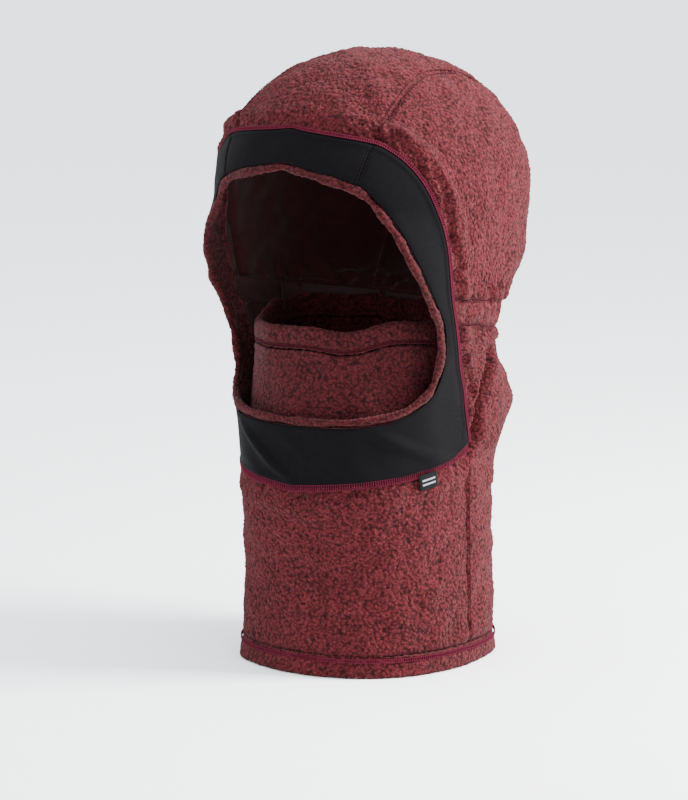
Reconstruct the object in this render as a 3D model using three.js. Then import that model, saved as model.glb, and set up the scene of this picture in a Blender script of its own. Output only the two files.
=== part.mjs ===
// Balaclava for skiing: a high-pile fleece hood cut to go over a helmet, a smooth woven trim
// round the face, and a fleece face gaiter sewn inside, whose hemmed rim pulls down to the chin.
//
// Millimetres, +Z up. The face looks along -Y and +X is the wearer's left.
// The origin is the centre of the wearer's head, at eye level. The model is drawn in heights
// above the neck hem and the outermost group moves it down to that origin.

import * as THREE from 'three';

// ---------------------------------------------------------------- driving dimensions

const NECK_LENGTH = 153; // hem to the lower edge of the chin trim, at the front
const CHIN_TRIM_HEIGHT = 58; // trim under the mouth, at the front
const OPENING_HEIGHT = 201; // face opening, chin to brow, on the centre line
const BROW_TRIM_RISE = 33; // height that the trim gains above the opening, on the centre line
const BROW_ABOVE_WIDEST = 27; // top of the opening above the widest level of the crown
const DOME_RISE = 113; // crown above its widest level
const NAPE_BELOW_WIDEST = 98; // upper nape seam under the widest level, at the back
const NAPE_BAND_HEIGHT = 20; // nape band at the back
const NAPE_BAND_SIDE_HEIGHT = 23; // nape band where it meets the trim
const NAPE_SIDE_LIFT = 22; // the band climbs this much from the back to the trim
const CORNER_HEIGHT = 31; // rear lower corner of the trim above its lower edge at the front

const CROWN_HALF_WIDTH = 118;
const CROWN_FRONT = 130;
const CROWN_BACK = 142;
const FOLD_BACK = 120; // soft fold of fleece below the nape
const NECK_BACK = 98;
const HEM_FLARE = 3; // the hem is wider than the neck all round by this much

const FLEECE = 4; // pile fleece, one layer
const WOVEN = 1.2; // woven trim
const FACING = 3; // fleece facing behind the trim
const BINDING_WIDTH = 6.5; // rolled fleece edge round the face
const BINDING_THICKNESS = 5.6;
const BINDING_ROOM = 0.8; // between the rolled edge and the trim
const SEAM_GAP = 0.8; // between panels that are sewn edge to edge
const LAYER_GAP = 0.35; // between layers that lie on each other
const THREAD_HEIGHT = 1;
const THREAD_LIFT = 1; // stitching above the cloth that it lies on

const CROWN_PANEL_HALF_NAPE = 50; // half width of the centre panel at the nape
const CROWN_PANEL_HALF_TOP = 60; // and on the top of the head
const CROWN_SEAM_STITCH = 6; // two needle rows, outside to outside
const NAPE_STITCH = 3;
const TRIM_STITCH = 3;
const CHIN_STITCH = 5;
const SIDE_SEAM_STITCH = 4;
const STITCH_MEETING = 5; // a row of stitching stops this far from the seam that it meets

const NECK_HEM_HEIGHT = 18;
const NECK_HEM_PROUD = 0.8; // the folded hem stands out from the neck
const HEM_STITCH = 3;

const GAITER_HALF_WIDTH = 87;
const GAITER_FRONT = 102;
const GAITER_BACK = 62;
const GAITER_ROOM_SIDE = 8.5; // from the gaiter's rim to the outside of the hood round it
const GAITER_ROOM_FRONT = 10;
const GAITER_ROOM_BACK = 11;
const GAITER_RIM_RISE = 76; // rim above the lower edge of the face opening
const GAITER_HEM_HEIGHT = 19;
const GAITER_FLEECE = 2.4;
const GAITER_SQUARENESS = 2.2;
const GAITER_SPREAD = 6; // the tube may be this much wider than its rim
const GAITER_HEM_SHOULDER = 1.5;
const GAITER_SEAM_ABOVE_EDGE = 2; // tube's lower seam above the lower edge of the trim
const ELASTIC_THICKNESS = 1.2;
const ELASTIC_HEIGHT = 12;
const NAPE_ELASTIC_HEIGHT = 14;
const NAPE_ELASTIC_START = 100; // degrees round from the front
const NAPE_ELASTIC_STEPS = 28;
const TAPE_HEIGHT = 12;
const TAPE_THICKNESS = 1;
const TAPE_GAP = 1.5; // between the tape and the inside of the neck

const LABEL_WIDTH = 18;
const LABEL_DROP = 13;
const LABEL_THICKNESS = 1.4;
const LABEL_ANGLE = 60; // degrees round from the front, on the wearer's left
const LABEL_CORNER = 1.2;

const EYES_BELOW_WIDEST = 50; // wearer's eye level under the crown's widest level
const MIDDLE_BELOW_WIDEST = 25; // point that the crown panels are laid out from

// ---------------------------------------------------------------- sizes that follow

const OPENING_BOTTOM = NECK_LENGTH + CHIN_TRIM_HEIGHT;
const OPENING_TOP = OPENING_BOTTOM + OPENING_HEIGHT;
const WIDEST = OPENING_TOP - BROW_ABOVE_WIDEST;
const NAPE_SEAM = WIDEST - NAPE_BELOW_WIDEST;
const NAPE_SEAM_SIDE = NAPE_SEAM + NAPE_SIDE_LIFT;
const NECK_HALF_WIDTH = GAITER_HALF_WIDTH + GAITER_ROOM_SIDE;
const NECK_FRONT = GAITER_FRONT + GAITER_ROOM_FRONT;
const NAPE_BACK = GAITER_BACK + GAITER_ROOM_BACK; // narrowest place behind the neck
const GAITER_SEAM = NECK_LENGTH + GAITER_SEAM_ABOVE_EDGE;
const GAITER_RIM_TOP = OPENING_BOTTOM + GAITER_RIM_RISE;
const HEAD_CENTRE_HEIGHT = WIDEST - EYES_BELOW_WIDEST;
const faceHeight = (share) => OPENING_BOTTOM + share * OPENING_HEIGHT;

// ---------------------------------------------------------------- cloth colours

const cloth = (name, color, roughness) =>
  new THREE.MeshStandardMaterial({ name, color, roughness, metalness: 0 });

const PILE = cloth('pile_fleece', 0x96474d, 0.95);
const PILE_INSIDE = cloth('fleece_lining', 0x5a3033, 0.95);
const TRIM = cloth('woven_trim', 0x1d1c1f, 0.6);
const THREAD = cloth('stitch_thread', 0x8a3350, 0.5);
const SEAM_THREAD = cloth('seam_thread', 0x6a2c36, 0.6);
const ELASTIC = cloth('elastic', 0x2a2326, 0.7);
const LABEL = cloth('woven_label', 0x151517, 0.6);

// ---------------------------------------------------------------- smooth curves

// Cubic curve through the given values, without overshoot between them.
function slopesThrough(x, y, flatEnd) {
  const last = x.length - 1;
  const step = x.slice(1).map((value, i) => (y[i + 1] - y[i]) / (value - x[i]));
  const slope = x.map((_, i) => {
    if (i === 0) return step[0];
    if (i === last) return flatEnd ? 0 : step[last - 1];
    if (step[i - 1] * step[i] <= 0) return 0;
    return (2 * step[i - 1] * step[i]) / (step[i - 1] + step[i]);
  });
  return slope;
}

function curveThrough(x, y, flatEnd = false) {
  const slope = slopesThrough(x, y, flatEnd);
  return (at) => {
    const clamped = Math.min(Math.max(at, x[0]), x[x.length - 1]);
    const k = Math.max(0, Math.min(x.length - 2, x.findLastIndex((value) => value <= clamped)));
    const width = x[k + 1] - x[k];
    const t = (clamped - x[k]) / width;
    const rise = t * t * (3 - 2 * t);
    return (
      y[k] + (y[k + 1] - y[k]) * rise +
      width * (slope[k] * t * (1 - t) ** 2 - slope[k + 1] * t * t * (1 - t))
    );
  };
}

const profile = (points, flatEnd) =>
  curveThrough(points.map((p) => p[0]), points.map((p) => p[1]), flatEnd);

// A line drawn on the hood through points [degrees round from the front, height].
// Its parameter is 0 at the first point, 1 at the second, and so on.
function lineOnHood(points) {
  const middleRadius = CROWN_HALF_WIDTH;
  const along = [0];
  for (let i = 1; i < points.length; i++) {
    const turn = THREE.MathUtils.degToRad(points[i][0] - points[i - 1][0]) * middleRadius;
    along.push(along[i - 1] + Math.hypot(turn, points[i][1] - points[i - 1][1]));
  }
  const angle = curveThrough(along, points.map((p) => p[0]));
  const height = curveThrough(along, points.map((p) => p[1]));
  return (k) => {
    const first = Math.min(Math.floor(k), points.length - 2);
    const at = along[first] + (k - first) * (along[first + 1] - along[first]);
    return [THREE.MathUtils.degToRad(angle(at)), height(at)];
  };
}

// ---------------------------------------------------------------- the hood's outer surface

// Half width, front and back of the hood's level section, and how square its corners are,
// against height. Above the widest level the section shrinks as an ellipse to the apex.
const halfWidth = profile([
  [0, NECK_HALF_WIDTH + HEM_FLARE],
  [NECK_LENGTH, NECK_HALF_WIDTH],
  [faceHeight(-0.021), NECK_HALF_WIDTH + 1.5],
  [faceHeight(0.144), THREE.MathUtils.lerp(NECK_HALF_WIDTH, CROWN_HALF_WIDTH, 0.27)],
  [faceHeight(0.278), THREE.MathUtils.lerp(NECK_HALF_WIDTH, CROWN_HALF_WIDTH, 0.52)],
  [faceHeight(0.453), THREE.MathUtils.lerp(NECK_HALF_WIDTH, CROWN_HALF_WIDTH, 0.72)],
  [faceHeight(0.618), THREE.MathUtils.lerp(NECK_HALF_WIDTH, CROWN_HALF_WIDTH, 0.86)],
  [WIDEST, CROWN_HALF_WIDTH],
], true);

const front = profile([
  [0, NECK_FRONT - 6 + HEM_FLARE],
  [NECK_LENGTH * 0.45, NECK_FRONT - 8],
  [NECK_LENGTH, NECK_FRONT],
  [OPENING_BOTTOM, NECK_FRONT + 2],
  [faceHeight(0.36), THREE.MathUtils.lerp(NECK_FRONT, CROWN_FRONT, 0.55)],
  [WIDEST, CROWN_FRONT],
], true);

const back = profile([
  [0, NECK_BACK + HEM_FLARE],
  [NECK_LENGTH * 0.8, NECK_BACK],
  [NECK_LENGTH + 22, THREE.MathUtils.lerp(NECK_BACK, FOLD_BACK, 0.36)],
  [NAPE_SEAM - 82, FOLD_BACK],
  [NAPE_SEAM - 54, THREE.MathUtils.lerp(FOLD_BACK, NAPE_BACK, 0.32)],
  [NAPE_SEAM - 24, NAPE_BACK],
  [NAPE_SEAM + 3, NAPE_BACK + 9],
  [NAPE_SEAM + 15, THREE.MathUtils.lerp(NAPE_BACK, CROWN_BACK, 0.42)],
  [NAPE_SEAM + 33, THREE.MathUtils.lerp(NAPE_BACK, CROWN_BACK, 0.77)],
  [NAPE_SEAM + 55, THREE.MathUtils.lerp(NAPE_BACK, CROWN_BACK, 0.94)],
  [WIDEST, CROWN_BACK],
], true);

const frontSquareness = profile([
  [NECK_LENGTH, 2.3],
  [OPENING_BOTTOM, 2.6],
  [faceHeight(0.144), 3.5],
  [faceHeight(0.36), 4],
  [faceHeight(0.618), 3.5],
  [WIDEST, 2.3],
], true);

const backSquareness = profile([
  [NECK_LENGTH, 2.2],
  [NAPE_SEAM - 82, 2.8],
  [NAPE_SEAM - 24, 2.2],
  [WIDEST, 2.2],
]);

function sectionRadius(angle, height) {
  const level = Math.min(height, WIDEST);
  const forward = Math.cos(angle) > 0;
  const power = forward ? frontSquareness(level) : backSquareness(level);
  const depth = forward ? front(level) : back(level);
  const across = Math.abs(Math.sin(angle)) / halfWidth(level);
  const lengthwise = Math.abs(Math.cos(angle)) / depth;
  return (across ** power + lengthwise ** power) ** (-1 / power);
}

const domeShare = (height) => Math.max(0, height - WIDEST) / DOME_RISE;

// Under 1 inside the hood, 1 on its surface, over 1 outside.
function depthOf(point) {
  const angle = Math.atan2(point.x, -point.y);
  const out = Math.hypot(point.x, point.y) / sectionRadius(angle, point.z);
  return out * out + domeShare(point.z) ** 2;
}

function normalAt(point) {
  const step = 0.5;
  const slope = (axis) => {
    const ahead = point.clone();
    const behind = point.clone();
    ahead[axis] += step;
    behind[axis] -= step;
    return depthOf(ahead) - depthOf(behind);
  };
  return new THREE.Vector3(slope('x'), slope('y'), slope('z')).normalize();
}

// A place on the surface: the point p and the way out, n.
const placeAt = (p) => ({ p, n: normalAt(p) });

function onHood(angle, height) {
  const r = sectionRadius(angle, height) * Math.sqrt(Math.max(0, 1 - domeShare(height) ** 2));
  return placeAt(new THREE.Vector3(r * Math.sin(angle), -r * Math.cos(angle), height));
}

// The crown panels are laid out as directions from a point in the middle of the head.
const MIDDLE = new THREE.Vector3(0, 0, WIDEST - MIDDLE_BELOW_WIDEST);
const directionOf = (place) => place.p.clone().sub(MIDDLE).normalize();

function alongDirection(direction) {
  let inside = 0;
  let outside = 2 * (CROWN_BACK + DOME_RISE);
  for (let i = 0; i < 44; i++) {
    const middle = (inside + outside) / 2;
    if (depthOf(MIDDLE.clone().addScaledVector(direction, middle)) < 1) inside = middle;
    else outside = middle;
  }
  return placeAt(MIDDLE.clone().addScaledVector(direction, outside));
}

// ---------------------------------------------------------------- closed solids

// Vertices that fall on the same place are shared, and triangles with no area are left out.
class Solid {
  constructor() {
    this.positions = [];
    this.triangles = [];
    this.known = new Map();
  }

  vertex(point) {
    const key = [point.x, point.y, point.z].map((value) => value.toFixed(4)).join();
    if (!this.known.has(key)) {
      this.known.set(key, this.positions.length / 3);
      this.positions.push(point.x, point.y, point.z);
    }
    return this.known.get(key);
  }

  triangle(a, b, c) {
    const corners = [a, b, c].map((point) => this.vertex(point));
    if (new Set(corners).size === 3) this.triangles.push(...corners);
  }

  quad(a, b, c, d) {
    this.triangle(a, b, c);
    this.triangle(a, c, d);
  }

  geometry() {
    const geometry = new THREE.BufferGeometry();
    geometry.setAttribute('position', new THREE.Float32BufferAttribute(this.positions, 3));
    geometry.setIndex(this.volume() < 0 ? this.triangles.toReversed() : this.triangles);
    geometry.computeVertexNormals();
    return geometry;
  }

  volume() {
    const corner = (i) => new THREE.Vector3().fromArray(this.positions, 3 * this.triangles[i]);
    let sum = 0;
    for (let i = 0; i < this.triangles.length; i += 3) {
      sum += corner(i).dot(corner(i + 1).cross(corner(i + 2)));
    }
    return sum;
  }
}

const offset = (place, distance) => place.p.clone().addScaledVector(place.n, distance);
const range = (count) => Array.from({ length: count + 1 }, (_, i) => i / count);

// The border of a grid of places, once round, as rows and columns.
function borderOf(grid) {
  const last = grid.length - 1;
  const end = grid[0].length - 1;
  const loop = [];
  for (let j = 0; j < end; j++) loop.push([0, j]);
  for (let i = 0; i < last; i++) loop.push([i, end]);
  for (let j = end; j > 0; j--) loop.push([last, j]);
  for (let i = last; i > 0; i--) loop.push([i, 0]);
  return loop;
}

// Pulls a panel's border in by half a seam gap, within the surface.
function trimForSeam(grid, pull) {
  const loop = borderOf(grid);
  const place = ([i, j]) => grid[i][j];
  const step = (k, way) => {
    const from = place(loop[k]);
    for (let reach = 1; reach < loop.length; reach++) {
      const next = place(loop[(k + way * reach + loop.length * reach) % loop.length]);
      const leap = next.p.clone().sub(from.p);
      if (leap.length() > 1e-3) return leap.normalize().multiplyScalar(way);
    }
    return null;
  };
  const middle = Math.floor(grid[0].length / 2);
  const inward = grid[1][middle].p.clone().sub(grid[0][middle].p);
  const start = grid[0][middle];
  const side = Math.sign(start.n.clone().cross(step(middle, 1)).dot(inward));
  const shifts = loop.map((_, k) => {
    const { n } = place(loop[k]);
    const before = n.clone().cross(step(k, -1)).normalize().multiplyScalar(side);
    const after = n.clone().cross(step(k, 1)).normalize().multiplyScalar(side);
    const share = Math.max(0.35, 1 + before.dot(after));
    return before.add(after).multiplyScalar(pull / share);
  });
  loop.forEach((at, k) => {
    const { p, n } = place(at);
    grid[at[0]][at[1]] = { p: p.clone().add(shifts[k]), n };
  });
  return grid;
}

// A sheet of cloth as a closed solid, from a grid of places on the hood's surface.
function sheetSolid(grid, outer, inner) {
  const solid = new Solid();
  const out = grid.map((row) => row.map((place) => offset(place, outer)));
  const behind = grid.map((row) => row.map((place) => offset(place, inner)));
  for (let i = 0; i + 1 < grid.length; i++) {
    for (let j = 0; j + 1 < grid[0].length; j++) {
      solid.quad(out[i][j], out[i + 1][j], out[i + 1][j + 1], out[i][j + 1]);
      solid.quad(behind[i][j], behind[i][j + 1], behind[i + 1][j + 1], behind[i + 1][j]);
    }
  }
  const loop = borderOf(grid);
  loop.forEach(([i, j], k) => {
    const [m, n] = loop[(k + 1) % loop.length];
    solid.quad(out[i][j], out[m][n], behind[m][n], behind[i][j]);
  });
  return solid.geometry();
}

const panelSolid = (grid, outer, inner) =>
  sheetSolid(trimForSeam(grid, SEAM_GAP / 2), outer, inner);

// Sweeps a section [across, out] along places on the surface; a loop closes on itself.
function sweep(places, section, loop) {
  const solid = new Solid();
  const count = places.length;
  const rings = places.map((place, k) => {
    const ahead = places[loop ? (k + 1) % count : Math.min(k + 1, count - 1)];
    const behind = places[loop ? (k + count - 1) % count : Math.max(k - 1, 0)];
    const way = ahead.p.clone().sub(behind.p).normalize();
    const across = place.n.clone().cross(way).normalize();
    return section.map(([side, out]) => offset(place, out).addScaledVector(across, side));
  });
  for (let k = 0; k + 1 < count + (loop ? 1 : 0); k++) {
    const ring = rings[k];
    const next = rings[(k + 1) % count];
    ring.forEach((point, i) => {
      const j = (i + 1) % ring.length;
      solid.quad(point, next[i], next[j], ring[j]);
    });
  }
  if (!loop) {
    const cap = (ring, turn) => {
      for (let i = 1; i + 1 < ring.length; i++) {
        const [a, b] = turn ? [i + 1, i] : [i, i + 1];
        solid.triangle(ring[0], ring[a], ring[b]);
      }
    };
    cap(rings[0], false);
    cap(rings[count - 1], true);
  }
  return solid.geometry();
}

// The same line, stopping short of its two ends.
function cutEnds(places, startCut, endCut = startCut) {
  const short = (from, to, cut) => {
    const share = cut / from.p.distanceTo(to.p);
    return { p: from.p.clone().lerp(to.p, share), n: from.n.clone().lerp(to.n, share).normalize() };
  };
  const first = short(places[0], places[1], startCut);
  const last = short(places.at(-1), places.at(-2), endCut);
  return [first, ...places.slice(1, -1), last];
}

function stitching(places, width) {
  const low = THREAD_LIFT;
  const high = THREAD_LIFT + THREAD_HEIGHT;
  const half = width / 2;
  return sweep(places, [[-half, low], [half, low], [half, high], [-half, high]], false);
}

// A ring round the head: an outline of [offset from the radius, height] at every angle.
function ringSolid(radiusAt, outline, steps) {
  const solid = new Solid();
  const point = (k, [out, height]) => {
    const angle = (2 * Math.PI * (k % steps)) / steps;
    const r = radiusAt(angle, height) + out;
    return new THREE.Vector3(r * Math.sin(angle), -r * Math.cos(angle), height);
  };
  for (let k = 0; k < steps; k++) {
    outline.forEach((corner, i) => {
      const next = outline[(i + 1) % outline.length];
      solid.quad(point(k, corner), point(k, next), point(k + 1, next), point(k + 1, corner));
    });
  }
  return solid.geometry();
}

// ---------------------------------------------------------------- seam lines on the hood

// The trim's outer and inner edges, in matched pairs from the brow round to the chin.
// The second pair is the crown seam, the sixth and seventh the nape band, the tenth the corner.
const CROWN_SEAM = 1;
const BAND_TOP = 5;
const BAND_BOTTOM = 6;
const CORNER = 9;
const CHIN = 12;

const TRIM_CORNERS = [
  [0, OPENING_TOP + BROW_TRIM_RISE],
  [35.5, OPENING_TOP + BROW_TRIM_RISE - 9.5],
  [46, OPENING_TOP + BROW_TRIM_RISE - 21.5],
  [55, faceHeight(0.945)],
  [62, faceHeight(0.772)],
  [67, NAPE_SEAM_SIDE],
  [70.5, NAPE_SEAM_SIDE - NAPE_BAND_SIDE_HEIGHT],
  [76, faceHeight(0.216)],
  [84, NECK_LENGTH + 2.3 * CORNER_HEIGHT],
  [90.5, NECK_LENGTH + CORNER_HEIGHT],
  [69, NECK_LENGTH + 0.52 * CORNER_HEIGHT],
  [38, NECK_LENGTH + 0.24 * CORNER_HEIGHT],
  [0, NECK_LENGTH],
];
const trimOuter = lineOnHood(TRIM_CORNERS);

const openingEdge = lineOnHood([
  [0, OPENING_TOP],
  [28.5, faceHeight(0.921)],
  [36, faceHeight(0.846)],
  [42, faceHeight(0.758)],
  [49, faceHeight(0.607)],
  [56.5, faceHeight(0.453)],
  [61.5, faceHeight(0.35)],
  [63, faceHeight(0.219)],
  [60, faceHeight(0.125)],
  [50, faceHeight(0.052)],
  [38, faceHeight(0.021)],
  [20, faceHeight(0.006)],
  [0, OPENING_BOTTOM],
]);

// How many steps each stretch between two pairs takes; pieces that share a seam share its steps.
// Behind the neck the hood curves inward, so its rows there are no further apart than this.
const NECK_ROW_HEIGHT = 14;
const neckSteps = (k) => Math.ceil((TRIM_CORNERS[k][1] - TRIM_CORNERS[k + 1][1]) / NECK_ROW_HEIGHT);
const STEPS = [4, 3, 3, 3, 3, 2, ...[6, 7, 8].map(neckSteps), 4, 4, 4];

function stations(from, to) {
  const list = [from];
  for (let k = from; k < to; k++) {
    for (let i = 1; i <= STEPS[k]; i++) list.push(k + i / STEPS[k]);
  }
  return list;
}

const mirrored = (place) => ({
  p: place.p.clone().setX(-place.p.x),
  n: place.n.clone().setX(-place.n.x),
});

const outerPlace = (k) => onHood(...trimOuter(k));
const edgePlace = (k) => onHood(...openingEdge(k));

// Places from the wearer's right, through the middle, to the wearer's left.
const bothSides = (fromMiddle) => [
  ...fromMiddle.slice(1).reverse().map(mirrored),
  ...fromMiddle,
];

// The nape seams, from the trim round the back.
const napeSeam = (drop, startAngle, sideHeight) => (angle) => {
  const round = (angle - startAngle) / (Math.PI - startAngle);
  const ease = 1 - (1 - round) ** 2;
  return THREE.MathUtils.lerp(sideHeight, NAPE_SEAM - drop, ease);
};
const [bandTopAngle, bandTopHeight] = trimOuter(BAND_TOP);
const [bandBottomAngle, bandBottomHeight] = trimOuter(BAND_BOTTOM);
const napeUpper = napeSeam(0, bandTopAngle, bandTopHeight);
const napeLower = napeSeam(NAPE_BAND_HEIGHT, bandBottomAngle, bandBottomHeight);

const NAPE_SIDE_STEPS = 9;
const NAPE_CENTRE_STEPS = 8;
const CROWN_SEAM_NAPE_ANGLE =
  Math.PI - Math.atan2(CROWN_PANEL_HALF_NAPE, back(NAPE_SEAM));

// Angles of a nape seam's places, from the wearer's left trim to the wearer's right.
function napeAngles(start) {
  const side = range(NAPE_SIDE_STEPS).map((t) => THREE.MathUtils.lerp(start, CROWN_SEAM_NAPE_ANGLE, t));
  const rest = range(NAPE_CENTRE_STEPS).slice(1, -1);
  const centre = rest.map((t) =>
    THREE.MathUtils.lerp(CROWN_SEAM_NAPE_ANGLE, 2 * Math.PI - CROWN_SEAM_NAPE_ANGLE, t));
  return [...side, ...centre, ...side.toReversed().map((angle) => 2 * Math.PI - angle)];
}

const fold = (angle) => (angle > Math.PI ? 2 * Math.PI - angle : angle);
const napeLine = (start, heightAt) =>
  napeAngles(start).map((angle) => onHood(angle, heightAt(fold(angle))));
const upperLine = napeLine(bandTopAngle, napeUpper);
const lowerLine = napeLine(bandBottomAngle, napeLower);

// The crown seam on the wearer's left: up from the trim, over the top and down to the nape.
const CROWN_STEPS = 15;
const BACK_OF_CROWN = new THREE.Vector3(0.42, 0.8, 0.42).normalize(); // the seam passes here
const crownSeam = (() => {
  const start = outerPlace(CROWN_SEAM);
  const end = upperLine[NAPE_SIDE_STEPS];
  const overTop = onHood(Math.PI / 2, WIDEST + DOME_RISE * Math.sqrt(
    1 - (CROWN_PANEL_HALF_TOP / CROWN_HALF_WIDTH) ** 2));
  const backOfCrown = alongDirection(BACK_OF_CROWN);
  const guide = new THREE.CatmullRomCurve3(
    [start, overTop, backOfCrown, end].map(directionOf), false, 'centripetal');
  const places = range(CROWN_STEPS).map((t) => alongDirection(guide.getPointAt(t).normalize()));
  places[0] = start;
  places[CROWN_STEPS] = end;
  return places;
})();

// Fills four lines of places with a grid, blending directions or angles and heights.
function fillBetween(topLine, bottomLine, startLine, endLine, toVector, toPlace) {
  const rows = startLine.length - 1;
  const columns = topLine.length - 1;
  const [top, bottom, start, end] =
    [topLine, bottomLine, startLine, endLine].map((line) => line.map(toVector));
  return start.map((_, i) => top.map((__, j) => {
    const [u, v] = [j / columns, i / rows];
    if (i === 0) return topLine[j];
    if (i === rows) return bottomLine[j];
    if (j === 0) return startLine[i];
    if (j === columns) return endLine[i];
    const blend = new THREE.Vector3()
      .addScaledVector(top[j], 1 - v).addScaledVector(bottom[j], v)
      .addScaledVector(start[i], 1 - u).addScaledVector(end[i], u)
      .addScaledVector(top[0], -(1 - u) * (1 - v)).addScaledVector(top[columns], -u * (1 - v))
      .addScaledVector(bottom[0], -(1 - u) * v).addScaledVector(bottom[columns], -u * v);
    return toPlace(blend);
  }));
}

const fillCrown = (...lines) =>
  fillBetween(...lines, directionOf, (blend) => alongDirection(blend.normalize()));

// Angles count up from the back, so a panel round the back has no jump in them.
const behindVector = ({ p }) => new THREE.Vector3(Math.atan2(p.x, p.y), p.z, 0);
const fillBehind = (...lines) =>
  fillBetween(...lines, behindVector, (blend) => onHood(Math.PI - blend.x, blend.y));
const aheadVector = ({ p }) => new THREE.Vector3(Math.atan2(p.x, -p.y), p.z, 0);
const fillAhead = (...lines) =>
  fillBetween(...lines, aheadVector, (blend) => onHood(blend.x, blend.y));

// ---------------------------------------------------------------- hood panels

function crownCenterPanel() {
  const brow = bothSides(stations(0, CROWN_SEAM).map(outerPlace)).reverse();
  const nape = upperLine.slice(NAPE_SIDE_STEPS, NAPE_SIDE_STEPS + NAPE_CENTRE_STEPS + 1);
  return panelSolid(fillCrown(brow, nape, crownSeam, crownSeam.map(mirrored)), 0, -FLEECE);
}

// One side of the crown. Its grid closes to a point where the crown seam meets the nape.
function crownSidePanel(side) {
  const trim = stations(CROWN_SEAM, BAND_TOP).map(outerPlace);
  const nape = range(CROWN_STEPS).map((t) => {
    const angle = THREE.MathUtils.lerp(bandTopAngle, CROWN_SEAM_NAPE_ANGLE, t);
    return onHood(angle, napeUpper(angle));
  });
  const point = trim.map(() => crownSeam[CROWN_STEPS]);
  const grid = fillCrown(crownSeam, nape, trim, point);
  return panelSolid(grid.map((row) => row.map(side)), 0, -FLEECE);
}

function napeBand() {
  const side = stations(BAND_TOP, BAND_BOTTOM).map(outerPlace);
  return panelSolid(fillBehind(upperLine, lowerLine, side, side.map(mirrored)), 0, -FLEECE);
}

const NECK_ROWS = 6;

function sideSeamPlaces() {
  const [angle, height] = trimOuter(CORNER);
  return range(NECK_ROWS).map((t) => onHood(angle, THREE.MathUtils.lerp(height, NECK_HEM_HEIGHT, t)));
}

function neckBackPanel() {
  const trim = stations(BAND_BOTTOM, CORNER).map(outerPlace);
  const side = [...trim, ...sideSeamPlaces().slice(1)];
  const start = Math.atan2(side.at(-1).p.x, -side.at(-1).p.y);
  const hem = napeAngles(start).map((angle) => onHood(angle, NECK_HEM_HEIGHT));
  return panelSolid(fillBehind(lowerLine, hem, side, side.map(mirrored)), 0, -FLEECE);
}

function neckFrontPanel() {
  const edge = bothSides(stations(CORNER, CHIN).toReversed().map(outerPlace));
  const seam = sideSeamPlaces();
  const [angle] = trimOuter(CORNER);
  const hem = range(edge.length - 1).map((t) =>
    onHood(THREE.MathUtils.lerp(-angle, angle, t), NECK_HEM_HEIGHT));
  return panelSolid(fillAhead(edge, hem, seam.map(mirrored), seam), 0, -FLEECE);
}

const NECK_RING_STEPS = 56;

function neckHem() {
  const [out, inside] = [NECK_HEM_PROUD, -FLEECE - NECK_HEM_PROUD];
  const top = NECK_HEM_HEIGHT - SEAM_GAP / 2;
  return ringSolid(sectionRadius, [[inside, 0], [out, 0], [out, top], [inside, top]], NECK_RING_STEPS);
}

function neckHemStitch() {
  const out = NECK_HEM_PROUD + THREAD_LIFT;
  const middle = NECK_HEM_HEIGHT - HEM_STITCH;
  const [low, high] = [middle - HEM_STITCH / 2, middle + HEM_STITCH / 2];
  const outline = [[out, low], [out + THREAD_HEIGHT, low], [out + THREAD_HEIGHT, high], [out, high]];
  return ringSolid(sectionRadius, outline, NECK_RING_STEPS);
}

// ---------------------------------------------------------------- face trim

const TRIM_ROWS = 3;

// Leaves room for the binding: the trim starts this far from the opening's edge.
function insideEdgePlace(k) {
  const here = edgePlace(k);
  const step = 0.05;
  const [before, after] = [Math.max(k - step, 0), Math.min(k + step, CHIN)];
  const way = edgePlace(after).p.sub(edgePlace(before).p).normalize();
  const away = way.cross(here.n).normalize();
  const point = here.p.clone().addScaledVector(away, -BINDING_WIDTH - BINDING_ROOM);
  return alongDirection(point.sub(MIDDLE).normalize());
}

const trimColumn = (k) => {
  const inner = directionOf(insideEdgePlace(k));
  const outer = directionOf(outerPlace(k));
  return range(TRIM_ROWS).map((t) => alongDirection(inner.clone().lerp(outer, t).normalize()));
};

const transpose = (grid) => grid[0].map((_, j) => grid.map((row) => row[j]));

const topColumns = stations(0, CROWN_SEAM).map(trimColumn);
const sideColumns = stations(CROWN_SEAM, CHIN).map(trimColumn);
const mirroredColumn = (column) => column.map(mirrored);
const topGrid = () => transpose([
  ...topColumns.slice(1).reverse().map(mirroredColumn), ...topColumns,
]);
const lowerGrid = () => transpose([
  ...sideColumns, ...sideColumns.slice(0, -1).reverse().map(mirroredColumn),
]);

const facingTop = -WOVEN - LAYER_GAP;

function openingBinding() {
  const half = stations(0, CHIN).map(edgePlace);
  const places = [...half, ...half.slice(1, -1).reverse().map(mirrored)];
  const sides = 6;
  const centre = -WOVEN - FACING / 2;
  const section = range(sides).slice(0, -1).map((t) => [
    BINDING_WIDTH / 2 * (1 - Math.cos(2 * Math.PI * t)),
    centre + BINDING_THICKNESS / 2 * Math.sin(2 * Math.PI * t),
  ]);
  return sweep(places, section, true);
}

function trimStitchUpper() {
  return stitching(bothSides(stations(0, CORNER).map(outerPlace)), TRIM_STITCH);
}

function trimStitchChin() {
  const line = bothSides(stations(CORNER, CHIN).toReversed().map(outerPlace));
  return stitching(cutEnds(line, CHIN_STITCH), CHIN_STITCH);
}

const trimJoinStitch = (side) =>
  stitching(cutEnds(trimColumn(CROWN_SEAM).map(side), SEAM_GAP, STITCH_MEETING), NAPE_STITCH);

// ---------------------------------------------------------------- gaiter

function gaiterRimRadius(angle) {
  const depth = Math.cos(angle) > 0 ? GAITER_FRONT : GAITER_BACK;
  const across = (Math.abs(Math.sin(angle)) / GAITER_HALF_WIDTH) ** GAITER_SQUARENESS;
  const lengthwise = (Math.abs(Math.cos(angle)) / depth) ** GAITER_SQUARENESS;
  return (across + lengthwise) ** (-1 / GAITER_SQUARENESS);
}

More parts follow.
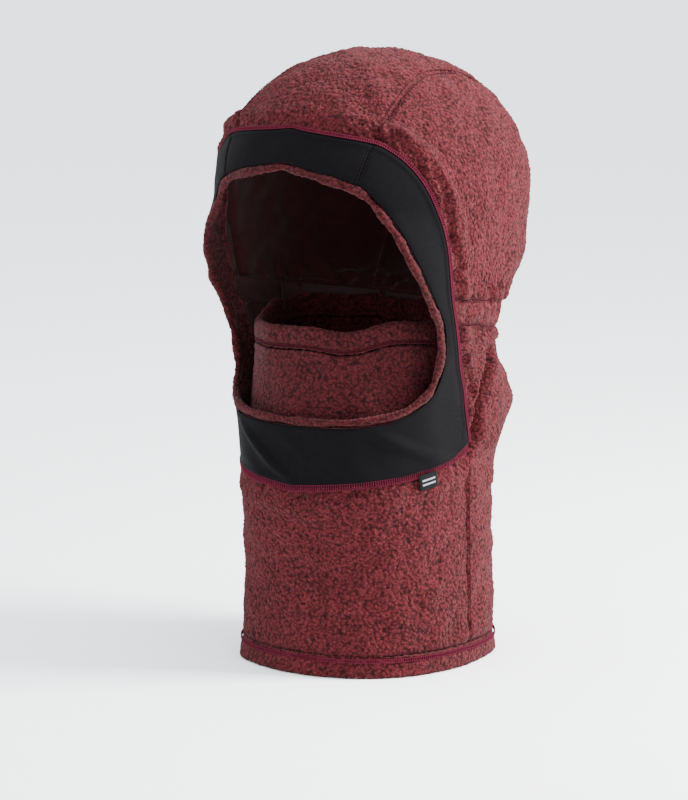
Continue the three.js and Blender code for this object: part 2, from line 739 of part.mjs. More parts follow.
const hemBottom = GAITER_RIM_TOP - GAITER_HEM_HEIGHT;
const tubeTop = hemBottom - LAYER_GAP;
const tapeInside = FLEECE + TAPE_GAP + TAPE_THICKNESS;

// The tube leaves the seam tape inside the neck and narrows to the rim.
function gaiterRadius(angle, height) {
  const t = THREE.MathUtils.smoothstep(height, GAITER_SEAM, tubeTop);
  const atSeam = sectionRadius(angle, height) - tapeInside;
  const atRim = gaiterRimRadius(angle);
  return THREE.MathUtils.lerp(Math.min(atSeam, atRim + GAITER_SPREAD), atRim, t);
}

const GAITER_STEPS = 44;
const TUBE_ROWS = 5;

function gaiterTube() {
  const heights = range(TUBE_ROWS).map((t) => THREE.MathUtils.lerp(GAITER_SEAM, tubeTop, t));
  const outside = heights.map((height) => [0, height]);
  const inside = heights.toReversed().map((height) => [-GAITER_FLEECE, height]);
  return ringSolid(gaiterRadius, [...outside, ...inside], GAITER_STEPS);
}

const channelDepth = ELASTIC_THICKNESS + 2 * LAYER_GAP;

// The tube's cloth folded over the elastic: open downwards, where it is stitched.
function gaiterHem() {
  const roof = GAITER_RIM_TOP - GAITER_FLEECE;
  const shoulder = GAITER_HEM_SHOULDER;
  const inner = -2 * GAITER_FLEECE - channelDepth;
  const outline = [
    [0, hemBottom], [0, GAITER_RIM_TOP - shoulder], [-shoulder, GAITER_RIM_TOP],
    [inner + shoulder, GAITER_RIM_TOP], [inner, GAITER_RIM_TOP - shoulder], [inner, hemBottom],
    [inner + GAITER_FLEECE, hemBottom], [inner + GAITER_FLEECE, roof],
    [-GAITER_FLEECE, roof], [-GAITER_FLEECE, hemBottom],
  ];
  return ringSolid(gaiterRimRadius, outline, GAITER_STEPS);
}

function gaiterHemElastic() {
  const out = -GAITER_FLEECE - LAYER_GAP;
  const inner = out - ELASTIC_THICKNESS;
  const top = GAITER_RIM_TOP - GAITER_FLEECE - LAYER_GAP;
  const low = top - ELASTIC_HEIGHT;
  return ringSolid(gaiterRimRadius, [[inner, low], [out, low], [out, top], [inner, top]], GAITER_STEPS);
}

function gaiterHemStitch() {
  const [low, high] = [hemBottom + 1, hemBottom + 1 + HEM_STITCH];
  const [near, far] = [THREAD_LIFT, THREAD_LIFT + THREAD_HEIGHT];
  return ringSolid(gaiterRimRadius, [[near, low], [far, low], [far, high], [near, high]], GAITER_STEPS);
}

// Tape over the seam where the tube is sewn to the neck.
function gaiterSeamTape() {
  const out = -FLEECE - TAPE_GAP;
  const inner = out - TAPE_THICKNESS;
  const [low, high] = [GAITER_SEAM - TAPE_HEIGHT, GAITER_SEAM - LAYER_GAP];
  return ringSolid(sectionRadius, [[inner, low], [out, low], [out, high], [inner, high]], NECK_RING_STEPS);
}

// ---------------------------------------------------------------- elastic and label

function napeElastic() {
  const start = THREE.MathUtils.degToRad(NAPE_ELASTIC_START);
  const angles = range(NAPE_ELASTIC_STEPS).map((t) => THREE.MathUtils.lerp(start, 2 * Math.PI - start, t));
  const places = angles.map((angle) =>
    onHood(angle, (napeUpper(fold(angle)) + napeLower(fold(angle))) / 2));
  const half = NAPE_ELASTIC_HEIGHT / 2;
  const out = -FLEECE - 3 * LAYER_GAP;
  const inner = out - ELASTIC_THICKNESS;
  return sweep(places, [[-half, inner], [half, inner], [half, out], [-half, out]], false);
}

// Where the chin trim's lower edge passes the label.
function labelEdge() {
  const angle = THREE.MathUtils.degToRad(LABEL_ANGLE);
  let [low, high] = [CORNER, CHIN];
  for (let i = 0; i < 40; i++) {
    const middle = (low + high) / 2;
    if (trimOuter(middle)[0] > angle) low = middle;
    else high = middle;
  }
  return low;
}

// A folded tab that hangs from the trim's lower edge; its top edge is the fold line it turns on.
function wovenLabel() {
  const k = labelEdge();
  const here = outerPlace(k);
  const across = outerPlace(k - 0.2).p.sub(outerPlace(k + 0.2).p).normalize();
  const up = here.n.clone().cross(across).normalize();
  const [half, drop, r] = [LABEL_WIDTH / 2, LABEL_DROP, LABEL_CORNER];
  const outline = new THREE.Shape();
  outline.moveTo(-half, 0);
  outline.lineTo(-half, r - drop);
  outline.absarc(r - half, r - drop, r, Math.PI, 1.5 * Math.PI, false);
  outline.absarc(half - r, r - drop, r, 1.5 * Math.PI, 2 * Math.PI, false);
  outline.lineTo(half, 0);
  const geometry = new THREE.ExtrudeGeometry(outline, {
    depth: LABEL_THICKNESS, bevelEnabled: false, curveSegments: 4,
  });
  const clear = THREAD_LIFT + THREAD_HEIGHT + LAYER_GAP;
  const matrix = new THREE.Matrix4().makeBasis(across, up, across.clone().cross(up));
  const side = Math.sign(across.clone().cross(up).dot(here.n));
  const shift = side > 0 ? clear : clear + LABEL_THICKNESS;
  matrix.setPosition(offset(here, shift));
  return geometry.applyMatrix4(matrix);
}

// ---------------------------------------------------------------- assembly

const left = (place) => place;
const stitchBetween = (places, width) => stitching(cutEnds(places, STITCH_MEETING), width);
const crownSeamStitch = (side) => stitchBetween(crownSeam.map(side), CROWN_SEAM_STITCH);
const sideSeamStitch = (side) =>
  stitching(cutEnds(sideSeamPlaces().map(side), CHIN_STITCH + STITCH_MEETING), SIDE_SEAM_STITCH);

const PIECES = [
  ['crown_center_panel', crownCenterPanel(), PILE],
  ['crown_side_panel_left', crownSidePanel(left), PILE],
  ['crown_side_panel_right', crownSidePanel(mirrored), PILE],
  ['crown_seam_stitch_left', crownSeamStitch(left), SEAM_THREAD],
  ['crown_seam_stitch_right', crownSeamStitch(mirrored), SEAM_THREAD],
  ['nape_band', napeBand(), PILE],
  ['nape_elastic', napeElastic(), ELASTIC],
  ['nape_stitch_upper', stitchBetween(upperLine, NAPE_STITCH), SEAM_THREAD],
  ['nape_stitch_lower', stitchBetween(lowerLine, NAPE_STITCH), SEAM_THREAD],
  ['neck_back_panel', neckBackPanel(), PILE],
  ['neck_front_panel', neckFrontPanel(), PILE],
  ['side_seam_stitch_left', sideSeamStitch(left), SEAM_THREAD],
  ['side_seam_stitch_right', sideSeamStitch(mirrored), SEAM_THREAD],
  ['neck_hem', neckHem(), PILE],
  ['neck_hem_stitch', neckHemStitch(), THREAD],
  ['face_trim_top', panelSolid(topGrid(), 0, -WOVEN), TRIM],
  ['face_trim_lower', panelSolid(lowerGrid(), 0, -WOVEN), TRIM],
  ['trim_facing_top', panelSolid(topGrid(), facingTop, facingTop - FACING), PILE_INSIDE],
  ['trim_facing_lower', panelSolid(lowerGrid(), facingTop, facingTop - FACING), PILE_INSIDE],
  ['trim_join_stitch_left', trimJoinStitch(left), SEAM_THREAD],
  ['trim_join_stitch_right', trimJoinStitch(mirrored), SEAM_THREAD],
  ['trim_coverstitch_upper', trimStitchUpper(), THREAD],
  ['trim_coverstitch_chin', trimStitchChin(), THREAD],
  ['opening_binding', openingBinding(), PILE],
  ['gaiter_tube', gaiterTube(), PILE],
  ['gaiter_seam_tape', gaiterSeamTape(), ELASTIC],
  ['gaiter_hem', gaiterHem(), PILE],
  ['gaiter_hem_elastic', gaiterHemElastic(), ELASTIC],
  ['gaiter_hem_stitch', gaiterHemStitch(), THREAD],
  ['woven_label', wovenLabel(), LABEL],
];

const balaclava = new THREE.Group();
const aboveHem = new THREE.Group();
aboveHem.position.z = -HEAD_CENTRE_HEIGHT;
balaclava.add(aboveHem);
for (const [name, geometry, material] of PIECES) {
  const mesh = new THREE.Mesh(geometry, material);
  mesh.name = name;
  aboveHem.add(mesh);
}

export default balaclava;
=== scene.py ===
"""Looks of the balaclava: pile fleece hood, woven face trim, sewn seams and the face gaiter.

Lengths are in millimetres above the neck hem until a mesh is made, which turns them into metres
in the row frame. The seam lines and the hood's surface are the ones the CAD pieces are built on.
"""

import math

import bmesh
import bpy
import numpy as np
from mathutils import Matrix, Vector


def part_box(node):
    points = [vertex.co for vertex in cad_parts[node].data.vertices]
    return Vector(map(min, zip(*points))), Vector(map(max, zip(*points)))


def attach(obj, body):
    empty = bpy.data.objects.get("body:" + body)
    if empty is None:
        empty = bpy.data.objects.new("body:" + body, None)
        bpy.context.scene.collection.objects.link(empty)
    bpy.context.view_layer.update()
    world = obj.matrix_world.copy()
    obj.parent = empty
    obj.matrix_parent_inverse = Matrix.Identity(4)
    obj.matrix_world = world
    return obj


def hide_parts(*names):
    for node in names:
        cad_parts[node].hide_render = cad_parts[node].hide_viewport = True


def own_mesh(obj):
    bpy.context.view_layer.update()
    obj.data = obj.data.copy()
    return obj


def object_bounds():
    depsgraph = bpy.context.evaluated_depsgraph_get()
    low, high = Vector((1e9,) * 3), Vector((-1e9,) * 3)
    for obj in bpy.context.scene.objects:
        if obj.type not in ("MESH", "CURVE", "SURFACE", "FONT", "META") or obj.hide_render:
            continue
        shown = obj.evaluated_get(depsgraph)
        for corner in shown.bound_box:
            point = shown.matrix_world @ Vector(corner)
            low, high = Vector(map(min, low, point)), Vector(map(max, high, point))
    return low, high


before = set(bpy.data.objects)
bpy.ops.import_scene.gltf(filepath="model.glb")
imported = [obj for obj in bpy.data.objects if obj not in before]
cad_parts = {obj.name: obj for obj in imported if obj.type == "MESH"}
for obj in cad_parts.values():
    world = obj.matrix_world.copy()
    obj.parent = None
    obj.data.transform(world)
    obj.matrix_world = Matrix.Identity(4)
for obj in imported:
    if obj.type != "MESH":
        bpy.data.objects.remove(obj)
CAD_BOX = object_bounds()
MM = 0.001
HEM_Z = 1000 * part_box("neck_hem")[0].z

# ---------------------------------------------------------------- sizes shared with the CAD

NECK_LENGTH = 153.0
CHIN_TRIM_HEIGHT = 58.0
OPENING_HEIGHT = 201.0
BROW_TRIM_RISE = 33.0
BROW_ABOVE_WIDEST = 27.0
DOME_RISE = 113.0
NAPE_BELOW_WIDEST = 98.0
NAPE_BAND_HEIGHT = 20.0
NAPE_BAND_SIDE_HEIGHT = 23.0
NAPE_SIDE_LIFT = 22.0
CORNER_HEIGHT = 31.0
CROWN_HALF_WIDTH = 118.0
CROWN_FRONT = 130.0
CROWN_BACK = 142.0
NAPE_BACK = 73.0
FOLD_BACK = 120.0
NECK_HALF_WIDTH = 95.5
NECK_FRONT = 112.0
NECK_BACK = 98.0
HEM_FLARE = 3.0
FLEECE = 4.0
WOVEN = 1.2
FACING = 3.0
BINDING_WIDTH = 6.5
BINDING_THICKNESS = 5.6
BINDING_ROOM = 0.8
LAYER_GAP = 0.35
CROWN_PANEL_HALF_NAPE = 50.0
CROWN_PANEL_HALF_TOP = 60.0
NECK_HEM_HEIGHT = 18.0
GAITER_HALF_WIDTH = 87.0
GAITER_FRONT = 102.0
GAITER_BACK = 62.0
GAITER_SQUARENESS = 2.2
GAITER_SPREAD = 6.0
GAITER_HEM_HEIGHT = 19.0
GAITER_FLEECE = 2.4
TAPE_INSIDE = 6.5
TAPE_OUTSIDE = 5.5
TAPE_HEIGHT = 12.0
ELASTIC_CHANNEL = 1.9
OPENING_BOTTOM = NECK_LENGTH + CHIN_TRIM_HEIGHT
OPENING_TOP = OPENING_BOTTOM + OPENING_HEIGHT
WIDEST = OPENING_TOP - BROW_ABOVE_WIDEST
NAPE_SEAM = WIDEST - NAPE_BELOW_WIDEST
NAPE_SEAM_SIDE = NAPE_SEAM + NAPE_SIDE_LIFT
GAITER_SEAM = NECK_LENGTH + 2.0
GAITER_RIM_TOP = OPENING_BOTTOM + 76.0
HEM_BOTTOM = GAITER_RIM_TOP - GAITER_HEM_HEIGHT
TUBE_TOP = HEM_BOTTOM - LAYER_GAP

# ---------------------------------------------------------------- sizes of the finish

NUB = 2.5  # spacing of the curls in the pile
PILE_HEIGHT = 1.7
RING_PILE_HEIGHT = 1.4
SEAM_DIP = 2.0
SEAM_SPREAD = 2.6
SIM_FRAMES = 20
SIM_CAP = 6.0  # furthest that a point may move
SIM_GROWTH = 0.045  # how much larger than its place each panel is cut
HEM_STITCH_HEIGHT = 14.5


def lerp(a, b, t):
    return a + (b - a) * t


def face_height(share):
    return OPENING_BOTTOM + share * OPENING_HEIGHT


# ---------------------------------------------------------------- the hood's outer surface

def curve(points, flat=False):
    """Cubic through the points, without overshoot; flat makes it level at its end."""
    x = np.array([p[0] for p in points], float)
    y = np.array([p[1] for p in points], float)
    step = np.diff(y) / np.diff(x)
    slope = np.zeros(len(x))
    slope[0], slope[-1] = step[0], 0 if flat else step[-1]
    for i in range(1, len(x) - 1):
        if step[i - 1] * step[i] > 0:
            slope[i] = 2 * step[i - 1] * step[i] / (step[i - 1] + step[i])

    def value(at):
        at = np.clip(at, x[0], x[-1])
        k = np.clip(np.searchsorted(x, at, side="right") - 1, 0, len(x) - 2)
        w = x[k + 1] - x[k]
        t = (at - x[k]) / w
        rise = y[k] + (y[k + 1] - y[k]) * t * t * (3 - 2 * t)
        return rise + w * (slope[k] * t * (1 - t) ** 2 - slope[k + 1] * t * t * (1 - t))

    return value


half_width = curve([
    (0, NECK_HALF_WIDTH + HEM_FLARE),
    (NECK_LENGTH, NECK_HALF_WIDTH),
    (face_height(-0.021), NECK_HALF_WIDTH + 1.5),
    (face_height(0.144), lerp(NECK_HALF_WIDTH, CROWN_HALF_WIDTH, 0.27)),
    (face_height(0.278), lerp(NECK_HALF_WIDTH, CROWN_HALF_WIDTH, 0.52)),
    (face_height(0.453), lerp(NECK_HALF_WIDTH, CROWN_HALF_WIDTH, 0.72)),
    (face_height(0.618), lerp(NECK_HALF_WIDTH, CROWN_HALF_WIDTH, 0.86)),
    (WIDEST, CROWN_HALF_WIDTH),
], flat=True)
front = curve([
    (0, NECK_FRONT - 6 + HEM_FLARE),
    (NECK_LENGTH * 0.45, NECK_FRONT - 8),
    (NECK_LENGTH, NECK_FRONT),
    (OPENING_BOTTOM, NECK_FRONT + 2),
    (face_height(0.36), lerp(NECK_FRONT, CROWN_FRONT, 0.55)),
    (WIDEST, CROWN_FRONT),
], flat=True)
back = curve([
    (0, NECK_BACK + HEM_FLARE),
    (NECK_LENGTH * 0.8, NECK_BACK),
    (NECK_LENGTH + 22, lerp(NECK_BACK, FOLD_BACK, 0.36)),
    (NAPE_SEAM - 82, FOLD_BACK),
    (NAPE_SEAM - 54, lerp(FOLD_BACK, NAPE_BACK, 0.32)),
    (NAPE_SEAM - 24, NAPE_BACK),
    (NAPE_SEAM + 3, NAPE_BACK + 9),
    (NAPE_SEAM + 15, lerp(NAPE_BACK, CROWN_BACK, 0.42)),
    (NAPE_SEAM + 33, lerp(NAPE_BACK, CROWN_BACK, 0.77)),
    (NAPE_SEAM + 55, lerp(NAPE_BACK, CROWN_BACK, 0.94)),
    (WIDEST, CROWN_BACK),
], flat=True)
front_squareness = curve([
    (NECK_LENGTH, 2.3), (OPENING_BOTTOM, 2.6), (face_height(0.144), 3.5),
    (face_height(0.36), 4), (face_height(0.618), 3.5), (WIDEST, 2.3),
], flat=True)
back_squareness = curve([
    (NECK_LENGTH, 2.2), (NAPE_SEAM - 82, 2.8), (NAPE_SEAM - 24, 2.2), (WIDEST, 2.2),
])


def section_radius(angle, height):
    level = np.minimum(height, WIDEST)
    forward = np.cos(angle) > 0
    power = np.where(forward, front_squareness(level), back_squareness(level))
    depth = np.where(forward, front(level), back(level))
    across = np.abs(np.sin(angle)) / half_width(level)
    lengthwise = np.abs(np.cos(angle)) / depth
    return (across ** power + lengthwise ** power) ** (-1 / power)


def round_axis(r, angle, height):
    """Points at a radius and height round the neck's axis; angle 0 is in front."""
    return np.stack(np.broadcast_arrays(r * np.sin(angle), -r * np.cos(angle), height), -1)


def dome_share(height):
    return np.maximum(0, height - WIDEST) / DOME_RISE


def depth_of(p):
    """Under 1 inside the hood, 1 on its surface, over 1 outside."""
    angle = np.arctan2(p[..., 0], -p[..., 1])
    out = np.hypot(p[..., 0], p[..., 1]) / section_radius(angle, p[..., 2])
    return out * out + dome_share(p[..., 2]) ** 2


def normals_at(p):
    slopes = []
    for axis in np.eye(3) * 0.5:
        slopes.append(depth_of(p + axis) - depth_of(p - axis))
    n = np.stack(slopes, -1)
    return n / np.linalg.norm(n, axis=-1, keepdims=True)


def on_hood(angle, height):
    angle, height = np.broadcast_arrays(np.asarray(angle, float), np.asarray(height, float))
    r = section_radius(angle, height) * np.sqrt(np.maximum(0, 1 - dome_share(height) ** 2))
    return round_axis(r, angle, height)


MIDDLE = np.array([0, 0, WIDEST - 25.0])


def unit(v):
    return v / np.maximum(np.linalg.norm(v, axis=-1, keepdims=True), 1e-12)


def level_out(p):
    """Level directions away from the axis."""
    return unit(p * np.array([1, 1, 0]))


def along_direction(direction):
    """Where rays from the middle of the head leave the hood."""
    inside = np.zeros(direction.shape[:-1])
    outside = np.full(direction.shape[:-1], 2 * (CROWN_BACK + DOME_RISE))
    for _ in range(30):
        middle = (inside + outside) / 2
        within = depth_of(MIDDLE + direction * middle[..., None]) < 1
        inside = np.where(within, middle, inside)
        outside = np.where(within, outside, middle)
    return MIDDLE + direction * outside[..., None]


# ---------------------------------------------------------------- seam lines

def line_on_hood(points):
    """Angle in radians and height along a line; its parameter is 1 at the second point."""
    p = np.array(points, float)
    turn = np.radians(np.diff(p[:, 0])) * CROWN_HALF_WIDTH
    along = np.concatenate([[0], np.cumsum(np.hypot(turn, np.diff(p[:, 1])))])
    angle, height = curve(list(zip(along, p[:, 0]))), curve(list(zip(along, p[:, 1])))

    def value(k):
        at = np.interp(k, np.arange(len(along)), along)
        return np.radians(angle(at)), height(at)

    return value


CROWN_SEAM, BAND_TOP, BAND_BOTTOM, CORNER, CHIN = 1, 5, 6, 9, 12
STEPS = [4, 3, 3, 3, 3, 2, 3, 3, 3, 4, 4, 4]
trim_outer = line_on_hood([
    (0, OPENING_TOP + BROW_TRIM_RISE), (35.5, OPENING_TOP + BROW_TRIM_RISE - 9.5),
    (46, OPENING_TOP + BROW_TRIM_RISE - 21.5), (55, face_height(0.945)), (62, face_height(0.772)),
    (67, NAPE_SEAM_SIDE), (70.5, NAPE_SEAM_SIDE - NAPE_BAND_SIDE_HEIGHT), (76, face_height(0.216)),
    (84, NECK_LENGTH + 2.3 * CORNER_HEIGHT), (90.5, NECK_LENGTH + CORNER_HEIGHT),
    (69, NECK_LENGTH + 0.52 * CORNER_HEIGHT), (38, NECK_LENGTH + 0.24 * CORNER_HEIGHT),
    (0, NECK_LENGTH),
])
opening_edge = line_on_hood([
    (0, OPENING_TOP), (28.5, face_height(0.921)), (36, face_height(0.846)),
    (42, face_height(0.758)), (49, face_height(0.607)), (56.5, face_height(0.453)),
    (61.5, face_height(0.35)), (63, face_height(0.219)), (60, face_height(0.125)),
    (50, face_height(0.052)), (38, face_height(0.021)), (20, face_height(0.006)),
    (0, OPENING_BOTTOM),
])


def stations(start, end, fine):
    """Parameters from one pair of the trim's points to another, with fine parts to a step."""
    parts = [k + np.arange(STEPS[k] * fine) / (STEPS[k] * fine) for k in range(start, end)]
    return np.concatenate([*parts, [end]])


def outer_places(k):
    return on_hood(*trim_outer(k))


def mirrored(p):
    return p * np.array([-1, 1, 1])


def both_sides(p):
    """From the wearer's right through the middle to the wearer's left."""
    return np.concatenate([mirrored(p[:0:-1]), p])


SIDES = (("left", lambda p: p), ("right", mirrored))
BAND_TOP_AT = [float(x) for x in trim_outer(BAND_TOP)]
BAND_BOTTOM_AT = [float(x) for x in trim_outer(BAND_BOTTOM)]


def nape_height(angle, start, drop):
    folded = np.where(angle > math.pi, 2 * math.pi - angle, angle)
    turned = (folded - start[0]) / (math.pi - start[0])
    return lerp(start[1], NAPE_SEAM - drop, 1 - (1 - turned) ** 2)


NAPE_SIDE_STEPS, NAPE_CENTRE_STEPS, CROWN_STEPS, NECK_ROWS = 9, 8, 15, 6
SEAM_ANGLE = math.pi - math.atan2(CROWN_PANEL_HALF_NAPE, float(back(NAPE_SEAM)))


def nape_angles(start, fine):
    side = np.linspace(start, SEAM_ANGLE, NAPE_SIDE_STEPS * fine + 1)
    centre = np.linspace(SEAM_ANGLE, 2 * math.pi - SEAM_ANGLE, NAPE_CENTRE_STEPS * fine + 1)
    return np.concatenate([side, centre[1:-1], 2 * math.pi - side[::-1]])


def upper_line(fine):
    angles = nape_angles(BAND_TOP_AT[0], fine)
    return on_hood(angles, nape_height(angles, BAND_TOP_AT, 0))


def lower_line(fine):
    angles = nape_angles(BAND_BOTTOM_AT[0], fine)
    return on_hood(angles, nape_height(angles, BAND_BOTTOM_AT, NAPE_BAND_HEIGHT))


def directions(p):
    return unit(p - MIDDLE)


def catmull(points, count):
    """Centripetal Catmull-Rom curve through the points, at even steps along its length."""
    p = np.array([2 * points[0] - points[1], *points, 2 * points[-1] - points[-2]])
    gap = np.linalg.norm(np.diff(p, axis=0), axis=1) ** 0.5
    out = []
    for i in range(1, len(p) - 2):
        d0, d1, d2 = gap[i - 1], gap[i], gap[i + 1]
        ahead, here = p[i + 1] - p[i], p[i] - p[i - 1]
        t1 = d1 * (here / d0 - (p[i + 1] - p[i - 1]) / (d0 + d1) + ahead / d1)
        t2 = d1 * (ahead / d1 - (p[i + 2] - p[i]) / (d1 + d2) + (p[i + 2] - p[i + 1]) / d2)
        t = np.linspace(0, 1, 400, endpoint=False)[:, None]
        cubic = 2 * p[i] - 2 * p[i + 1] + t1 + t2
        out.append(p[i] + t1 * t + (3 * ahead - 2 * t1 - t2) * t ** 2 + cubic * t ** 3)
    line = np.concatenate([*out, p[-2:-1]])
    return even(line, count)


def lengths(line):
    return np.concatenate([[0], np.cumsum(np.linalg.norm(np.diff(line, axis=0), axis=1))])


def even(line, count):
    """The same line with count + 1 points at even distances."""
    s = lengths(line)
    at = np.linspace(0, s[-1], count + 1)
    return np.stack([np.interp(at, s, line[:, i]) for i in range(3)], 1)


def crown_seam(fine):
    """The crown seam on the wearer's left, from the trim over the top to the nape."""
    start = outer_places(CROWN_SEAM)
    end = on_hood(SEAM_ANGLE, nape_height(np.array(SEAM_ANGLE), BAND_TOP_AT, 0))
    rise = DOME_RISE * math.sqrt(1 - (CROWN_PANEL_HALF_TOP / CROWN_HALF_WIDTH) ** 2)
    over_top = on_hood(math.pi / 2, WIDEST + rise)
    behind = along_direction(unit(np.array([0.42, 0.8, 0.42])))
    guide = [directions(p) for p in (start, over_top, behind, end)]
    line = along_direction(unit(catmull(guide, CROWN_STEPS * fine)))
    line[0], line[-1] = start, end
    return line


# ---------------------------------------------------------------- panels as grids of points

def coons(top, bottom, start, end):
    """The surface that blends four border lines."""
    v = np.linspace(0, 1, len(start))[:, None, None]
    u = np.linspace(0, 1, len(top))[None, :, None]
    sides = (1 - v) * top[None] + v * bottom[None] + (1 - u) * start[:, None] + u * end[:, None]
    corners = (1 - u) * (1 - v) * top[0] + u * (1 - v) * top[-1]
    return sides - corners - (1 - u) * v * bottom[0] - u * v * bottom[-1]


def keep_border(grid, top, bottom, start, end):
    grid[:, 0], grid[:, -1] = start, end
    grid[0], grid[-1] = top, bottom
    return grid


def fill_crown(*lines):
    return keep_border(along_direction(unit(coons(*[directions(p) for p in lines]))), *lines)


def fill_level(*lines, behind=False):
    sign = 1 if behind else -1
    flat = [np.stack([np.arctan2(p[:, 0], sign * p[:, 1]), p[:, 2]], 1) for p in lines]
    blend = coons(*flat)
    angle = math.pi - blend[..., 0] if behind else blend[..., 0]
    return keep_border(on_hood(angle, blend[..., 1]), *lines)


def side_seam(fine):
    angle, height = trim_outer(CORNER)
    return on_hood(angle, np.linspace(height, NECK_HEM_HEIGHT, NECK_ROWS * fine + 1))


def grid_crown_center(rows, cols):
    brow = both_sides(outer_places(stations(0, CROWN_SEAM, cols)))[::-1]
    first = NAPE_SIDE_STEPS * cols
    nape = upper_line(cols)[first:first + NAPE_CENTRE_STEPS * cols + 1]
    seam = crown_seam(rows)
    return fill_crown(brow, nape, seam, mirrored(seam))


def grid_crown_side(rows, cols):
    trim = outer_places(stations(CROWN_SEAM, BAND_TOP, rows))
    angles = np.linspace(BAND_TOP_AT[0], SEAM_ANGLE, CROWN_STEPS * cols + 1)
    nape = on_hood(angles, nape_height(angles, BAND_TOP_AT, 0))
    seam = crown_seam(cols)
    point = np.repeat(seam[-1:], len(trim), 0)
    return fill_crown(seam, nape, trim, point)


def grid_nape_band(rows, cols):
    side = outer_places(stations(BAND_TOP, BAND_BOTTOM, rows))
    return fill_level(upper_line(cols), lower_line(cols), side, mirrored(side), behind=True)


def grid_neck_back(rows, cols):
    side = np.concatenate([outer_places(stations(BAND_BOTTOM, CORNER, rows)), side_seam(rows)[1:]])
    angles = nape_angles(float(trim_outer(CORNER)[0]), cols)
    hem = on_hood(angles, NECK_HEM_HEIGHT)
    return fill_level(lower_line(cols), hem, side, mirrored(side), behind=True)


def grid_neck_front(rows, cols):
    edge = both_sides(outer_places(stations(CORNER, CHIN, cols))[::-1])
    angle = float(trim_outer(CORNER)[0])
    hem = on_hood(np.linspace(-angle, angle, len(edge)), NECK_HEM_HEIGHT)
    seam = side_seam(rows)
    return fill_level(edge, hem, mirrored(seam), seam)


def trim_column_ends(k):
    """Inner and outer ends of the trim's columns; the inner ones leave room for the binding."""
    here = on_hood(*opening_edge(k))
    ahead = on_hood(*opening_edge(np.minimum(k + 0.05, CHIN)))
    before = on_hood(*opening_edge(np.maximum(k - 0.05, 0)))
    away = unit(np.cross(unit(ahead - before), normals_at(here)))
    inner = directions(here - away * (BINDING_WIDTH + BINDING_ROOM))
    return inner, directions(outer_places(k))


def grid_trim(start, end, rows, cols):
    inner, outer = trim_column_ends(stations(start, end, cols))
    t = np.linspace(0, 1, 3 * rows + 1)[:, None, None]
    half = along_direction(unit(lerp(inner[None], outer[None], t)))
    other = mirrored(half[:, ::-1])
    if start == 0:
        return np.concatenate([other[:, :-1], half], 1)
    return np.concatenate([half, other[:, 1:]], 1)


# ---------------------------------------------------------------- noise

def ripple(p, wavelength, seed, count=10):
    """Smooth noise about 0, of about unit size, with that wavelength."""
    rng = np.random.default_rng(seed)
    way = unit(rng.normal(size=(count, 3))) * (2 * math.pi / wavelength)
    way *= rng.uniform(0.7, 1.4, (count, 1))
    phase = rng.uniform(0, 2 * math.pi, count)
    total = np.zeros(p.shape[:-1])
    for w, f in zip(way, phase):
        total += np.cos(p @ w + f)
    return total * math.sqrt(2 / count)


def scramble(h):
    h = (h ^ (h >> np.uint32(15))) * np.uint32(2246822519)
    h = (h ^ (h >> np.uint32(13))) * np.uint32(3266489917)
    return h ^ (h >> np.uint32(16))


def curls(p, size, seed):
    """Height of a pile of small curls, from 0 in the gaps to 1 at the tips, and a shade each."""
    shape = p.shape[:-1]
    q = p.reshape(-1, 3) / size
    q = q + 0.32 * np.stack([ripple(q, 2.4, seed + i, 6) for i in range(3)], 1)
    cell = np.floor(q).astype(np.int64)
    best, shade = np.zeros(len(q)), np.full(len(q), 0.5)
    factors = np.array([73856093, 19349663, 83492791], np.int64)
    for offset in np.ndindex(3, 3, 3):
        at = cell + np.array(offset) - 1
        h = scramble(((at * factors).sum(1) + seed * 9176).astype(np.uint32))
        numbers = [h := scramble(h + np.uint32(i + 1)) for i in range(6)]
        r = [n.astype(float) / 4294967296.0 for n in numbers]
        gap = q - at - np.stack(r[:3], 1)
        lay = unit(np.stack(r[3:6], 1) - 0.5)
        stretch = (gap * lay).sum(1) ** 2
        height = (0.6 + 0.4 * r[5]) * (1 - ((gap ** 2).sum(1) - 0.6 * stretch) / 0.34)
        better = height > best
        best, shade = np.where(better, height, best), np.where(better, r[4], shade)
    return best.reshape(shape), shade.reshape(shape)


def bell(x, width):
    return np.exp(-(x / width) ** 2)


def window(x, low, high, soft):
    """1 from low to high, falling to 0 within soft of each."""
    rise = np.clip((x - low) / soft + 1, 0, 1)
    fall = np.clip((high - x) / soft + 1, 0, 1)
    return rise * rise * (3 - 2 * rise) * fall * fall * (3 - 2 * fall)


# ---------------------------------------------------------------- meshes

def to_frame(p):
    return (np.asarray(p, float) + np.array([0, 0, HEM_Z])) * MM


def make_mesh(name, verts, quads, tris=(), values=None, parts=None):
    """A mesh object from arrays, with float attributes and a material number per face."""
    quads = np.asarray(quads, np.int64).reshape(-1, 4)
    tris = np.asarray(tris, np.int64).reshape(-1, 3)
    mesh = bpy.data.meshes.new(name)
    mesh.vertices.add(len(verts))
    mesh.vertices.foreach_set("co", to_frame(verts).astype(np.float32).ravel())
    corners = np.concatenate([quads.ravel(), tris.ravel()])
    mesh.loops.add(len(corners))
    mesh.loops.foreach_set("vertex_index", corners.astype(np.int32))
    mesh.polygons.add(len(quads) + len(tris))
    starts = np.concatenate([np.arange(len(quads)) * 4, len(quads) * 4 + np.arange(len(tris)) * 3])
    mesh.polygons.foreach_set("loop_start", starts.astype(np.int32))
    mesh.update(calc_edges=True)
    mesh.shade_smooth()
    for key, value in (values or {}).items():
        made = mesh.attributes.new(key, "FLOAT", "POINT")
        made.data.foreach_set("value", np.asarray(value, np.float32).ravel())
    if parts is not None:
        mesh.polygons.foreach_set("material_index", np.asarray(parts, np.int32))
    mesh.validate()
    obj = bpy.data.objects.new(name, mesh)
    bpy.context.scene.collection.objects.link(obj)
    return obj


